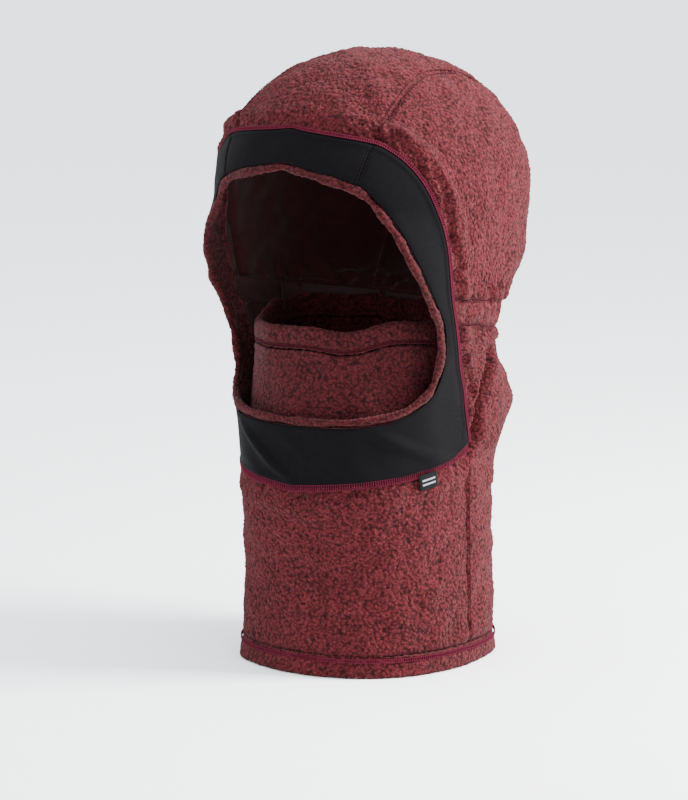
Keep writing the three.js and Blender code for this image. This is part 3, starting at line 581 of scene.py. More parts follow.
def grid_faces(index):
    a, b, c, d = index[:-1, :-1], index[1:, :-1], index[1:, 1:], index[:-1, 1:]
    return np.stack([a, b, c, d], -1).reshape(-1, 4)


def border(index):
    return np.concatenate([index[0, :-1], index[:-1, -1], index[-1, :0:-1], index[:0:-1, 0]])


def sheet_mesh(name, out, inner, values):
    """A closed sheet: a fine outer face, an inner face three times coarser, and a rim."""
    rows, cols = out.shape[:2]
    top = np.arange(rows * cols).reshape(rows, cols)
    low = np.arange(inner.shape[0] * inner.shape[1]).reshape(inner.shape[:2]) + rows * cols
    fine, coarse = border(top), border(low)
    following = np.roll(coarse, -1)
    p0, p1, p2, p3 = fine[0::3], fine[1::3], fine[2::3], np.roll(fine[0::3], -1)
    rim = np.stack([following, p2, p1, coarse], 1)
    ends = np.concatenate([np.stack([coarse, p1, p0], 1), np.stack([following, p3, p2], 1)])
    faces = [grid_faces(top), grid_faces(low)[:, ::-1], rim]
    parts = np.repeat([0, 1, 0, 0], [len(faces[0]), len(faces[1]), len(rim), len(ends)])
    verts = np.concatenate([out.reshape(-1, 3), inner.reshape(-1, 3)])
    filled = {}
    for key, (value, inside) in values.items():
        filled[key] = np.concatenate([value.ravel(), np.full(inner.size // 3, inside)])
    return weld(make_mesh(name, verts, np.concatenate(faces), ends, filled, parts))


def weld(obj):
    """Joins points that fall on the same place, and turns the faces outward."""
    made = bmesh.new()
    made.from_mesh(obj.data)
    bmesh.ops.remove_doubles(made, verts=made.verts, dist=1e-5)
    bmesh.ops.dissolve_degenerate(made, dist=1e-7, edges=made.edges)
    bmesh.ops.recalc_face_normals(made, faces=made.faces)
    made.to_mesh(obj.data)
    made.free()
    return obj


def loop_mesh(name, points, values, parts):
    """A closed ring: points run round the ring, then round its section."""
    around, section = points.shape[:2]
    index = np.arange(around * section).reshape(around, section)
    a, b = index, np.roll(index, -1, 0)
    quads = np.stack([a, b, np.roll(b, -1, 1), np.roll(a, -1, 1)], -1).reshape(-1, 4)
    made = make_mesh(name, points.reshape(-1, 3), quads, (), values, np.tile(parts, around))
    return weld(made)


def loop_normals(points):
    along = np.roll(points, -1, 0) - np.roll(points, 1, 0)
    across = np.roll(points, -1, 1) - np.roll(points, 1, 1)
    return unit(np.cross(across, along))


# ---------------------------------------------------------------- stitching

ROUND = 6  # sides of a thread


def stitched(name, line, n, shapes, pitch, radius):
    """One mesh of separate stitches along a line. A shape lists [along, across, out] points."""
    s = lengths(line)
    way = unit(np.gradient(line, axis=0))
    count = int(s[-1] / pitch)
    all_points, all_up = [], []
    for shape in shapes:
        shape = np.array(shape, float)
        at = (np.arange(count)[:, None] + 0.5) * (s[-1] / count) + shape[None, :, 0]
        base, up, ahead = [
            np.stack([np.interp(at, s, v[:, i]) for i in range(3)], -1) for v in (line, n, way)
        ]
        up, side = unit(up), unit(np.cross(up, ahead))
        all_points.append(base + side * shape[None, :, 1:2] + up * shape[None, :, 2:3])
        all_up.append(up)
    points, up = np.concatenate(all_points), np.concatenate(all_up)
    return tubes(name, points, up, radius)


def tubes(name, points, up, radius):
    many, steps = points.shape[:2]
    tangent = unit(np.gradient(points, axis=1))
    first = unit(up - (up * tangent).sum(-1, keepdims=True) * tangent)
    second = np.cross(tangent, first)
    turn = np.linspace(0, 2 * math.pi, ROUND, endpoint=False)
    taper = np.ones(steps)
    taper[0] = taper[-1] = 0.55
    ring = first[:, :, None] * np.cos(turn)[:, None] + second[:, :, None] * np.sin(turn)[:, None]
    verts = points[:, :, None] + radius * taper[None, :, None, None] * ring
    index = np.arange(many * steps * ROUND).reshape(many, steps, ROUND)
    a, b = index[:, :-1], index[:, 1:]
    sides = np.stack([a, b, np.roll(b, -1, 2), np.roll(a, -1, 2)], -1).reshape(-1, 4)
    start, end = index[:, 0], index[:, -1]
    caps = [start[:, [0, 1, 2, 3]], start[:, [0, 3, 4, 5]], end[:, [3, 2, 1, 0]],
            end[:, [5, 4, 3, 0]]]
    return make_mesh(name, verts.reshape(-1, 3), np.concatenate([sides, *caps]))


def needle_row(across, length, out):
    """One stitch that dives into the cloth at both ends."""
    dive = out - 0.9
    return [
        (-length / 2, across, dive), (-length / 3, across, out), (0, across, out + 0.15),
        (length / 3, across, out), (length / 2, across, dive),
    ]


def rung(half, slant, out):
    """A thread that crosses a cover stitch between its two needle rows."""
    return [
        (-slant, -half, out - 0.5), (-slant / 2, -half * 0.7, out), (0, 0, out + 0.1),
        (slant / 2, half * 0.7, out), (slant, half, out - 0.5),
    ]


# ---------------------------------------------------------------- cloth simulation

def drape(grids, growth):
    """Each panel, held along its seams and a little larger than its place, settles into soft
    folds. Gives how far each grid point moves."""
    verts, faces, pins, start = [], [], [], 0
    for grid in grids:
        n = normals_at(grid)
        index = np.arange(grid.shape[0] * grid.shape[1]).reshape(grid.shape[:2]) + start
        wobble = 0.5 * ripple(grid, 38, 5)[..., None] * n
        wobble[0] = wobble[-1] = 0
        wobble[:, 0] = wobble[:, -1] = 0
        verts.append((grid + wobble).reshape(-1, 3))
        faces.append(grid_faces(index))
        pins.append(border(index))
        start += grid.shape[0] * grid.shape[1]
    cage = make_mesh("cloth_cage", np.concatenate(verts), np.concatenate(faces))
    held = cage.vertex_groups.new(name="held")
    held.add([int(i) for i in np.concatenate(pins)], 1.0, "REPLACE")
    cloth = cage.modifiers.new("cloth", "CLOTH")
    cloth.settings.vertex_group_mass = "held"
    cloth.settings.quality = 6
    cloth.settings.mass = 0.02
    cloth.settings.tension_stiffness = 12
    cloth.settings.compression_stiffness = 12
    cloth.settings.shear_stiffness = 6
    cloth.settings.bending_stiffness = 0.8
    cloth.settings.shrink_min = -growth
    cloth.settings.effector_weights.gravity = 0
    cloth.collision_settings.use_collision = False
    scene = bpy.context.scene
    for frame_number in range(1, SIM_FRAMES + 1):
        scene.frame_set(frame_number)
    settled = cage.evaluated_get(bpy.context.evaluated_depsgraph_get()).to_mesh()
    after = np.zeros(3 * start, np.float32)
    settled.vertices.foreach_get("co", after)
    scene.frame_set(1)
    bpy.data.objects.remove(cage)
    after = after.reshape(-1, 3) / MM - np.array([0, 0, HEM_Z])
    moves, start = [], 0
    for grid in grids:
        size = grid.shape[0] * grid.shape[1]
        move = after[start:start + size].reshape(grid.shape) - grid
        far = np.linalg.norm(move, axis=-1, keepdims=True)
        moves.append(move * SIM_CAP * np.tanh(far / SIM_CAP) / np.maximum(far, 1e-9))
        start += size
    return moves


def refine(values, rows, cols):
    """A smooth finer grid through a coarse grid's values."""
    for count in (rows, cols):
        at = np.linspace(0, len(values) - 1, count)
        k = np.clip(at.astype(int), 0, len(values) - 2)
        t = (at - k)[:, None, None]
        before, here = values[np.maximum(k - 1, 0)], values[k]
        ahead, beyond = values[k + 1], values[np.minimum(k + 2, len(values) - 1)]
        rise, fall = (ahead - before) / 2, (beyond - here) / 2
        step = ahead - here
        values = here + rise * t + (3 * step - 2 * rise - fall) * t ** 2
        values = values + (rise + fall - 2 * step) * t ** 3
        values = values.swapaxes(0, 1)
    return values


# ---------------------------------------------------------------- relief of the panels

def edge_distances(grid):
    """Distances from the top, bottom, start and end borders, measured along the grid."""
    down = np.linalg.norm(np.diff(grid, axis=0), axis=-1)
    over = np.linalg.norm(np.diff(grid, axis=1), axis=-1)
    top = np.concatenate([np.zeros((1, grid.shape[1])), np.cumsum(down, 0)])
    start = np.concatenate([np.zeros((grid.shape[0], 1)), np.cumsum(over, 1)], 1)
    return {"top": top, "bottom": top[-1:] - top, "start": start, "end": start[:, -1:] - start}


def seam_relief(distance):
    return -SEAM_DIP * bell(distance, SEAM_SPREAD)


def trim_relief(grid, distance, height, pucker):
    """Fleece beside the trim: drawn in by the stitching, then a soft ridge with puckers."""
    ridge = height * bell(distance - 17, 6.5)
    drawn = -1.5 * bell(distance - 5, 5.5)
    gathers = pucker * bell(distance - 9, 7) * ripple(grid, 11, 21)
    return ridge + drawn + gathers


def angle_of(grid):
    return np.degrees(np.arctan2(np.abs(grid[..., 0]), -grid[..., 1]))


def crown_center_relief(grid, edge):
    relief = seam_relief(edge["start"]) + seam_relief(edge["end"]) + seam_relief(edge["top"])
    relief += trim_relief(grid, edge["top"], 1.6, 0.5) + nape_gathers(grid, edge["bottom"])
    return relief


def nape_gathers(grid, distance):
    """Cloth drawn up by the elastic behind the neck."""
    behind = window(angle_of(grid), 100, 181, 24)
    puckers = ripple(grid * np.array([1, 1, 0.25]), 12, 31)
    return 0.6 * seam_relief(distance) + 1.5 * behind * bell(distance - 6, 11) * puckers


def crown_side_relief(grid, edge):
    relief = seam_relief(edge["top"]) + nape_gathers(grid, edge["bottom"])
    relief += seam_relief(edge["start"])
    return relief + trim_relief(grid, edge["start"], 4.6, 1.2)


def nape_band_relief(grid, edge):
    relief = nape_gathers(grid, edge["top"]) + seam_relief(edge["bottom"])
    ends = seam_relief(edge["start"]) + seam_relief(edge["end"])
    return relief + ends + 1.2 * bell(edge["top"] - 10, 6)


def neck_back_relief(grid, edge):
    rows = np.linspace(0, 1, grid.shape[0])[:, None]
    beside_trim = window(rows, -1, 0.52, 0.08)
    relief = nape_gathers(grid, edge["top"])
    for side in ("start", "end"):
        relief += seam_relief(edge[side])
        relief += beside_trim * trim_relief(grid, edge[side], 2.2, 0.8)
    angle = angle_of(grid) + 3 * ripple(grid, 60, 44)
    tall = window(grid[..., 2], 185, 246, 22)
    crease = -9 * bell(angle - 99, 3.4) + 5 * bell(angle - 109, 7) + 2.5 * bell(angle - 91, 4)
    return relief + tall * crease + seam_relief(edge["bottom"])


def neck_front_relief(grid, edge):
    relief = seam_relief(edge["top"]) + seam_relief(edge["bottom"])
    relief += seam_relief(edge["start"]) + seam_relief(edge["end"])
    return relief + trim_relief(grid, edge["top"], 1.5, 0.6)


PANELS = {
    "crown_center_panel": (grid_crown_center, crown_center_relief, (27, 18)),
    "crown_side_panel": (grid_crown_side, crown_side_relief, (12, 24)),
    "nape_band": (grid_nape_band, nape_band_relief, (12, 12)),
    "neck_back_panel": (grid_neck_back, neck_back_relief, (18, 12)),
    "neck_front_panel": (grid_neck_front, neck_front_relief, (21, 12)),
}


def fleece_panel(name, grid, move, relief, seed):
    """One panel of pile fleece: soft folds, seams drawn in, curls outside, a brushed back."""
    rows, cols = grid.shape[:2]
    n = normals_at(grid)
    edge = edge_distances(grid)
    lift = relief(grid, edge) + 0.5 * ripple(grid, 24, 9)
    body = grid + refine(move, rows, cols) + n * lift[..., None]
    height, shade = curls(body, NUB, seed)
    nearest = np.minimum.reduce(list(edge.values()))
    fade = 0.3 + 0.7 * np.clip(nearest / 4, 0, 1)
    out = body + n * (PILE_HEIGHT * (height - 0.4) * fade)[..., None]
    back_face = (body - n * FLEECE)[::3, ::3]
    values = {"curl": (height, 0.5), "shade": (shade, 0.5)}
    return sheet_mesh(name, out, back_face, values)


# ---------------------------------------------------------------- materials

class Nodes:
    """A material with a Principled shader, and short ways to add nodes to it."""

    def __init__(self, name, **settings):
        self.material = bpy.data.materials.new(name)
        self.material.use_nodes = True
        self.tree = self.material.node_tree
        self.shader = self.tree.nodes["Principled BSDF"]
        for key, value in settings.items():
            self.shader.inputs[key.replace("_", " ")].default_value = value

    def add(self, kind, links=(), **settings):
        node = self.tree.nodes.new(kind)
        for key, value in settings.items():
            if key in node.inputs:
                node.inputs[key].default_value = value
            else:
                setattr(node, key, value)
        for source, socket in links:
            self.tree.links.new(source, node.inputs[socket])
        return node

    def attribute(self, name):
        return self.add("ShaderNodeAttribute", attribute_name=name).outputs["Fac"]

    def place(self):
        return self.add("ShaderNodeTexCoord").outputs["Object"]

    def noise(self, scale, detail=2.0):
        node = self.add("ShaderNodeTexNoise", [(self.place(), "Vector")], Scale=scale)
        node.inputs["Detail"].default_value = detail
        return node.outputs["Fac"]

    def maths(self, operation, a, b=None):
        node = self.add("ShaderNodeMath", operation=operation)
        for i, value in enumerate([a, b]):
            if value is None:
                continue
            if isinstance(value, (int, float)):
                node.inputs[i].default_value = value
            else:
                self.tree.links.new(value, node.inputs[i])
        return node.outputs[0]

    def ramp(self, source, stops):
        node = self.add("ShaderNodeValToRGB", [(source, "Fac")])
        elements = node.color_ramp.elements
        while len(elements) < len(stops):
            elements.new(0.5)
        for element, (at, color) in zip(elements, stops):
            element.position = at
            element.color = (*color, 1)
        return node.outputs["Color"]

    def color(self, source):
        self.tree.links.new(source, self.shader.inputs["Base Color"])

    def bump(self, source, distance, strength=1.0):
        node = self.add("ShaderNodeBump", [(source, "Height")])
        node.inputs["Distance"].default_value = distance
        node.inputs["Strength"].default_value = strength
        self.tree.links.new(node.outputs["Normal"], self.shader.inputs["Normal"])


def shaded(color, factor):
    return tuple(c * factor for c in color)


def pile_material(name, tone, gap=0.16, sheen=0.04):
    """Fleece with a curly pile: dark between the curls as painted shade, paler and warmer at their
    tips as painted light.
    """
    m = Nodes(name, Roughness=0.95, Sheen_Weight=sheen, Sheen_Roughness=0.5,
              Specular_IOR_Level=0.1)
    m.shader.inputs["Sheen Tint"].default_value = (1.0, 0.6, 0.62, 1)
    fibres = m.noise(1300, 3.0)
    broad = m.noise(14, 2.0)
    bend = m.add("ShaderNodeTexNoise", [(m.place(), "Vector")], Scale=330.0)
    shift = m.add("ShaderNodeVectorMath", [(bend.outputs["Color"], 0)], operation="SCALE")
    shift.inputs["Scale"].default_value = 0.0026
    bent = m.add("ShaderNodeVectorMath", [(m.place(), 0), (shift.outputs[0], 1)], operation="ADD")
    loops = m.add("ShaderNodeTexVoronoi", [(bent.outputs[0], "Vector")], Scale=400.0)
    loop_height = m.maths("SUBTRACT", 1.05, loops.outputs["Distance"])
    curl = m.maths("ADD", m.maths("MULTIPLY", m.attribute("curl"), 0.3),
                   m.maths("MULTIPLY", loop_height, 0.78))
    tint = m.maths("ADD", m.maths("MULTIPLY", m.attribute("shade"), 0.12),
                   m.maths("MULTIPLY", broad, 0.22))
    level = m.maths("SUBTRACT", m.maths("ADD", m.maths("ADD", curl, tint),
                                        m.maths("MULTIPLY", fibres, 0.25)), 0.3)
    # Painted shade darkens the gaps between the curls, down to gap times the tone; painted light
    # makes the tips paler and warmer.
    m.color(m.ramp(level, [
        (0.14, shaded(tone, gap)), (0.38, shaded(tone, 0.46)), (0.58, shaded(tone, 0.86)),
        (0.75, shaded(tone, 1.1)), (0.95, (tone[0] * 1.4, tone[1] * 1.6, tone[2] * 1.55)),
    ]))
    height = m.maths("ADD", m.maths("MULTIPLY", fibres, 0.35), loop_height)
    m.bump(height, 0.0012, 0.75)
    return m.material


def brushed_material(name, tone):
    """The fleece's brushed back."""
    m = Nodes(name, Roughness=0.95, Sheen_Weight=0.08, Sheen_Roughness=0.5,
              Specular_IOR_Level=0.1)
    fibres = m.noise(900, 4.0)
    m.color(m.ramp(fibres, [(0.25, shaded(tone, 0.55)), (0.75, shaded(tone, 1.2))]))
    m.bump(fibres, 0.0008, 0.6)
    return m.material


def woven_material(name, tone, yarn):
    """A fine plain weave along the piece's own length and width."""
    m = Nodes(name, Roughness=0.8, Sheen_Weight=0.01, Sheen_Roughness=0.4,
              Specular_IOR_Level=0.04)
    waves = []
    for key, shift in (("run", 0.0), ("cross", math.pi / 2)):
        turn = m.maths("MULTIPLY", m.attribute(key), 2 * math.pi / yarn)
        waves.append(m.maths("SINE", m.maths("ADD", turn, shift)))
    weave = m.maths("ADD", m.maths("MULTIPLY", m.maths("MULTIPLY", waves[0], waves[1]), 0.5), 0.5)
    slub = m.noise(260, 3.0)
    level = m.maths("ADD", m.maths("MULTIPLY", weave, 0.6), m.maths("MULTIPLY", slub, 0.5))
    m.color(m.ramp(level, [(0.15, shaded(tone, 0.6)), (0.6, tone), (1.0, shaded(tone, 1.7))]))
    m.bump(level, 0.00022, 0.8)
    return m.material


def thread_material(name, tone):
    """Twisted sewing thread."""
    m = Nodes(name, Roughness=0.7, Sheen_Weight=0.01, Sheen_Roughness=0.3,
              Specular_IOR_Level=0.05)
    twist = m.noise(2600, 2.0)
    m.color(m.ramp(twist, [(0.3, shaded(tone, 0.6)), (0.7, shaded(tone, 1.25))]))
    m.bump(twist, 0.00015, 0.7)
    return m.material


def elastic_material(name, tone):
    """Ribbed elastic, its ribs along the attribute run."""
    m = Nodes(name, Roughness=0.7, Specular_IOR_Level=0.3)
    rib = m.maths("SINE", m.maths("MULTIPLY", m.attribute("run"), 2 * math.pi / 1.4))
    grain = m.noise(1200, 2.0)
    level = m.maths("ADD", m.maths("MULTIPLY", rib, 0.3), m.maths("MULTIPLY", grain, 0.8))
    m.color(m.ramp(level, [(0.1, shaded(tone, 0.5)), (0.8, shaded(tone, 1.4))]))
    m.bump(level, 0.0003, 0.8)
    return m.material


def label_material(name):
    """Black woven label with two plain paler bars."""
    m = Nodes(name, Roughness=0.75, Specular_IOR_Level=0.05)
    weave = m.noise(1900, 2.0)
    ground = m.ramp(weave, [(0.3, (0.0025, 0.0025, 0.003)), (0.7, (0.008, 0.008, 0.009))])
    bars = m.ramp(weave, [(0.3, (0.16, 0.16, 0.17)), (0.7, (0.34, 0.34, 0.35))])
    mix = m.add("ShaderNodeMix", data_type="RGBA")
    m.tree.links.new(m.attribute("bar"), mix.inputs["Factor"])
    m.tree.links.new(ground, mix.inputs[6])
    m.tree.links.new(bars, mix.inputs[7])
    m.color(mix.outputs[2])
    m.bump(weave, 0.0002, 0.7)
    return m.material


BURGUNDY = (0.064, 0.0085, 0.0108)
PILE = pile_material("curly_pile", BURGUNDY)
# Painted shade: the gaiter, the binding and the gaiter hem use the hood's burgundy at two thirds,
# standing for the shade inside the face opening.
PILE_IN_PAINTED_SHADE = pile_material("pile_in_painted_shade", shaded(BURGUNDY, 0.66))
LINING = brushed_material("brushed_lining", (0.032, 0.007, 0.0075))
LINING_PILE = pile_material("lining_pile", (0.052, 0.012, 0.012), 0.25, 0.04)
TRIM = woven_material("woven_trim_cloth", (0.0025, 0.0022, 0.0026), 1.1)
COVER_THREAD = thread_material("cover_thread", (0.078, 0.0065, 0.018))
SEAM_THREAD = thread_material("seam_thread_twist", (0.038, 0.0045, 0.0075))
TRIM_THREAD = thread_material("trim_thread_twist", (0.006, 0.0035, 0.004))
ELASTIC = elastic_material("ribbed_elastic", (0.03, 0.008, 0.01))
LABEL = label_material("label_weave")


def finish_piece(obj, materials, slot, body, *nodes):
    for material in materials:
        obj.data.materials.append(material)
    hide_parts(*nodes)
    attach(obj, body)


# ---------------------------------------------------------------- fleece panels

def build_panels():
    """The hood's five kinds of panel; the crown's side panels are a mirrored pair."""
    coarse = {name: make(3, 3) for name, (make, _, _) in PANELS.items()}
    moves = {name: np.zeros_like(grid) for name, grid in coarse.items()}
    moves = dict(zip(coarse, drape(list(coarse.values()), SIM_GROWTH)))
    for seed, (name, (make, relief, fine)) in enumerate(PANELS.items()):
        grid = make(*fine)
        if name != "crown_side_panel":
            one_panel(name, grid, moves[name], relief, seed)
            continue
        for side, turn in SIDES:
            one_panel(f"{name}_{side}", turn(grid), turn(moves[name]), relief, seed + 40)


def one_panel(name, grid, move, relief, seed):
    obj = fleece_panel(name + "_pile", grid, move, relief, seed)
    finish_piece(obj, [PILE, LINING], "pile_fleece", "hood", name)


# ---------------------------------------------------------------- face trim and binding

def trim_relief_woven(grid, edge):
    """The trim is drawn in along its seams and creased a little under the chin."""
    drawn = -0.7 * bell(edge["bottom"], 2.2) - 0.5 * bell(edge["top"], 2.5)
    piped = 0.9 * bell(edge["bottom"] - 4.2, 1.8)
    low = window(grid[..., 2], 120, OPENING_BOTTOM, 40)
    slanted = grid @ np.array([0.75, 0.1, 0.9])
    creases = ripple(np.stack([slanted, 0.3 * grid[..., 0], 0 * slanted], -1), 26, 61)
    free = np.clip(np.minimum(edge["top"], edge["bottom"]) / 14, 0, 1)
    soft = 0.35 * free * ripple(grid, 45, 62)
    ends = -0.6 * (bell(edge["start"], 2) + bell(edge["end"], 2))
    return drawn + piped + soft + free * low * 0.9 * np.maximum(creases, 0) ** 2 + ends


def woven_piece(name, start, end, rows, cols):
    grid = grid_trim(start, end, rows, cols)
    edge = edge_distances(grid)
    n = normals_at(grid)
    body = grid + n * trim_relief_woven(grid, edge)[..., None]
    inner = (body - n * WOVEN)[::3, ::3]
    values = {"run": (edge["start"], 0), "cross": (edge["top"], 0)}
    obj = sheet_mesh(name + "_cloth", body, inner, values)
    finish_piece(obj, [TRIM, TRIM], "woven_trim", "hood", name)


def facing_piece(name, start, end, rows, cols):
    """Fleece behind the trim: its pile is toward the face."""
    grid = grid_trim(start, end, rows, cols)
    n = normals_at(grid)
    near, far = -WOVEN - LAYER_GAP, -WOVEN - LAYER_GAP - FACING
    height, shade = curls(grid, NUB, 71)
    out = grid + n * (far + 0.6 - 1.1 * height)[..., None]
    inner = (grid + n * (near - 1.0))[::3, ::3]
    values = {"curl": (height, 0.5), "shade": (shade, 0.5)}
    obj = sheet_mesh(name + "_pile", out, inner, values)
    finish_piece(obj, [LINING_PILE, LINING], "fleece_lining", "hood", name)


def closed_line(half):
    return np.concatenate([half, mirrored(half[1:-1][::-1])])


def build_binding():
    """The rolled fleece edge round the face, with pile of its own."""
    half = on_hood(*opening_edge(stations(0, CHIN, 120)))
    line = closed_line(half)
    line = even(np.concatenate([line, line[:1]]), 560)[:-1]
    n = normals_at(line)
    way = unit(np.roll(line, -1, 0) - np.roll(line, 1, 0))
    across = unit(np.cross(n, way))
    turn = np.linspace(0, 2 * math.pi, 21)[:-1]
    side = BINDING_WIDTH / 2 * (1 - np.cos(turn))
    out = -WOVEN - FACING / 2 + BINDING_THICKNESS / 2 * np.sin(turn)
    points = line[:, None] + across[:, None] * side[:, None] + n[:, None] * out[:, None]
    middle = (line + across * BINDING_WIDTH / 2 - n * (WOVEN + FACING / 2))[:, None]
    away = unit(points - middle)
    height, shade = curls(points, NUB * 0.9, 83)
    roll = 0.5 * ripple(points, 30, 84)
    points = points + away * (1.1 * (height - 0.35) + roll)[..., None]
    values = {"curl": height, "shade": shade}
    obj = loop_mesh("binding_roll", points, values, np.zeros(len(turn)))
    finish_piece(obj, [PILE_IN_PAINTED_SHADE], "gaiter_fleece", "hood", "opening_binding")


# ---------------------------------------------------------------- stitching on the hood

def along_seam(line, cut):
    """The line without its ends, and its normals."""
    n = normals_at(line)
    s = lengths(line)
    keep = (s > cut) & (s < s[-1] - cut)
    return line[keep], n[keep]


def sew(name, line, n, shapes, pitch, radius, material, slot, body, nodes):
    obj = stitched(name, line, n, shapes, pitch, radius)
    finish_piece(obj, [material], slot, body, *nodes)


def double_row(width, length, out):
    return [needle_row(-width / 2, length, out), needle_row(width / 2, length, out)]


def cover_stitch(width, out, pitch):
    rows = double_row(width, pitch * 0.96, out + 0.25)
    return rows + [rung(width / 2, pitch * 0.28, out), rung(width / 2, -pitch * 0.28, out)]


def ladder_stitch(width, out, pitch):
    return double_row(width, pitch * 0.96, out) + [rung(width / 2, 0.1, out + 0.25)]


def build_hood_stitching():
    seam = crown_seam(30)
    for side, turn in SIDES:
        line, n = along_seam(turn(seam), 5)
        sew(f"crown_seam_threads_{side}", line, n, double_row(5, 3.0, 0.1), 3.3, 0.34,
            SEAM_THREAD, "seam_thread", "hood", [f"crown_seam_stitch_{side}"])
        line, n = along_seam(turn(side_seam(30)), 10)
        sew(f"side_seam_threads_{side}", line, n, double_row(3.4, 3.0, 0.1), 3.3, 0.34,
            SEAM_THREAD, "seam_thread", "hood", [f"side_seam_stitch_{side}"])
        inner, outer = trim_column_ends(np.array([float(CROWN_SEAM)]))
        t = np.linspace(0.03, 0.85, 60)[:, None]
        line = turn(along_direction(unit(lerp(inner, outer, t))))
        sew(f"trim_join_threads_{side}", line, normals_at(line), double_row(2.4, 2.6, 0.05),
            2.8, 0.28, TRIM_THREAD, "seam_thread", "hood", [f"trim_join_stitch_{side}"])
    for name, line in (("upper", upper_line(30)), ("lower", lower_line(30))):
        line, n = along_seam(line, 5)
        sew(f"nape_threads_{name}", line, n, double_row(2.2, 3.0, 0.1), 3.3, 0.32,
            SEAM_THREAD, "seam_thread", "hood", [f"nape_stitch_{name}"])


def build_cover_stitching():
    line = both_sides(outer_places(stations(0, CORNER, 40)))
    sew("trim_cover_threads_upper", line, normals_at(line), cover_stitch(2.4, 0.35, 1.9), 1.9,
        0.36, COVER_THREAD, "stitch_thread", "hood", ["trim_coverstitch_upper"])
    line = both_sides(outer_places(stations(CORNER, CHIN, 40))[::-1])
    line, n = along_seam(line, 4)
    sew("trim_cover_threads_chin", line, n, ladder_stitch(4.8, 0.35, 1.9), 1.9, 0.38,
        COVER_THREAD, "stitch_thread", "hood", ["trim_coverstitch_chin"])


# ---------------------------------------------------------------- rings: hem, gaiter, tape

def gaiter_rim_radius(angle):
    depth = np.where(np.cos(angle) > 0, GAITER_FRONT, GAITER_BACK)
    across = (np.abs(np.sin(angle)) / GAITER_HALF_WIDTH) ** GAITER_SQUARENESS
    lengthwise = (np.abs(np.cos(angle)) / depth) ** GAITER_SQUARENESS
    return (across + lengthwise) ** (-1 / GAITER_SQUARENESS)


def smooth(t):
    t = np.clip(t, 0, 1)
    return t * t * (3 - 2 * t)


def gaiter_radius(angle, height):
    rim = gaiter_rim_radius(angle)
    at_seam = np.minimum(section_radius(angle, height) - TAPE_INSIDE, rim + GAITER_SPREAD)
    return lerp(at_seam, rim, smooth((height - GAITER_SEAM) / (TUBE_TOP - GAITER_SEAM)))


def rim_wave(angle):
    """How far the gaiter's rim rises and falls round the face."""
    wave = 1.3 * np.sin(3 * angle + 0.6) + 0.8 * np.sin(5 * angle + 2.1) + 0.6 * np.sin(9 * angle)
    turn = (np.degrees(angle) + 180) % 360 - 180
    dip = 5 * window(turn, -62, 12, 45) + 2.5 * bell(turn - 21, 13) - 2 * bell(turn - 42, 12)
    return wave - dip + 5.0 * bell(turn + 74, 9)


def rounded(corners, step):
    """Points about step apart round a closed outline, [out, height], with eased corners."""
    line = np.array(corners + corners[:1], float)
    s = np.concatenate([[0], np.cumsum(np.linalg.norm(np.diff(line, axis=0), axis=1))])
    at = np.linspace(0, s[-1], int(s[-1] / step) + 1)[:-1]
    points = np.stack([np.interp(at, s, line[:, i]) for i in range(2)], 1)
    for _ in range(2):
        points = (np.roll(points, 1, 0) + 2 * points + np.roll(points, -1, 0)) / 4
    return points


def ring_points(radius_at, outline, around):
    angle = np.linspace(0, 2 * math.pi, around + 1)[:-1, None]
    height = outline[None, :, 1]
    r = radius_at(angle, height) + outline[None, :, 0]
    return round_axis(r, angle, height), angle


def furry_ring(name, points, outward, weights, seed):
    height, shade = curls(points, NUB, seed)
    moved = points + outward * (RING_PILE_HEIGHT * (height - 0.4) * weights)[..., None]
    return loop_mesh(name, moved, {"curl": height, "shade": shade}, np.zeros(points.shape[1]))


def facing_out(points):
    n = loop_normals(points)
    if (n * level_out(points)).sum(-1)[:, 0].mean() < 0:
        return -n
    return n


def elastic_ring(name, points, outline, body, node):
    run = np.broadcast_to(outline[None, :, 1], points.shape[:2])
    obj = loop_mesh(name, points, {"run": run}, np.zeros(len(outline)))
    finish_piece(obj, [ELASTIC], "elastic", body, node)


def build_neck_hem():
    top, inside, proud = NECK_HEM_HEIGHT - 0.4, -FLEECE - 0.8, 0.8
    outline = rounded([[proud, top], [inside, top], [inside, 0.2], [proud, 0.2]], 1.15)
    points, _ = ring_points(section_radius, outline, 560)
    sag = 0.8 * ripple(points, 60, 91)
    points = points + level_out(points) * sag[..., None]
    stitch = 1.2 * bell(outline[:, 1] - HEM_STITCH_HEIGHT, 2.0)
    n = facing_out(points)
    points = points - n * stitch[None, :, None]
    weights = np.where(np.abs(outline[:, 1] - HEM_STITCH_HEIGHT) < 2.4, 0.4, 1.0)[None]
    obj = furry_ring("neck_hem_pile", points, n, weights, 92)
    finish_piece(obj, [PILE], "pile_fleece", "hood", "neck_hem")
    angle = np.linspace(0, 2 * math.pi, 700)
    r = section_radius(angle, HEM_STITCH_HEIGHT) + proud
    line = round_axis(r, angle, HEM_STITCH_HEIGHT)
    sew("neck_hem_threads", line, level_out(line), cover_stitch(2.6, 0.1, 2.0), 2.0, 0.3,
        COVER_THREAD, "stitch_thread", "hood", ["neck_hem_stitch"])


def build_gaiter():
    corners = [[0, GAITER_SEAM], [0, TUBE_TOP], [-GAITER_FLEECE, TUBE_TOP],
               [-GAITER_FLEECE, GAITER_SEAM]]
    outline = rounded(corners, 1.25)
    points, angle = ring_points(gaiter_radius, outline, 440)
    share = smooth((outline[None, :, 1] - GAITER_SEAM) / (TUBE_TOP - GAITER_SEAM))
    folds = 1.6 * ripple(points * np.array([1, 1, 0.22]), 42, 101) * (0.35 + 0.65 * share)
    points = points + level_out(points) * folds[..., None]
    points[..., 2] += rim_wave(angle) * share
    obj = furry_ring("gaiter_cloth", points, facing_out(points), 1.0, 102)
    finish_piece(obj, [PILE_IN_PAINTED_SHADE], "gaiter_fleece", "hood", "gaiter_tube")
    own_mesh(obj)
    build_gaiter_hem(folds_at_rim=folds[:, np.argmax(outline[:, 1])], angle=angle[:, 0])


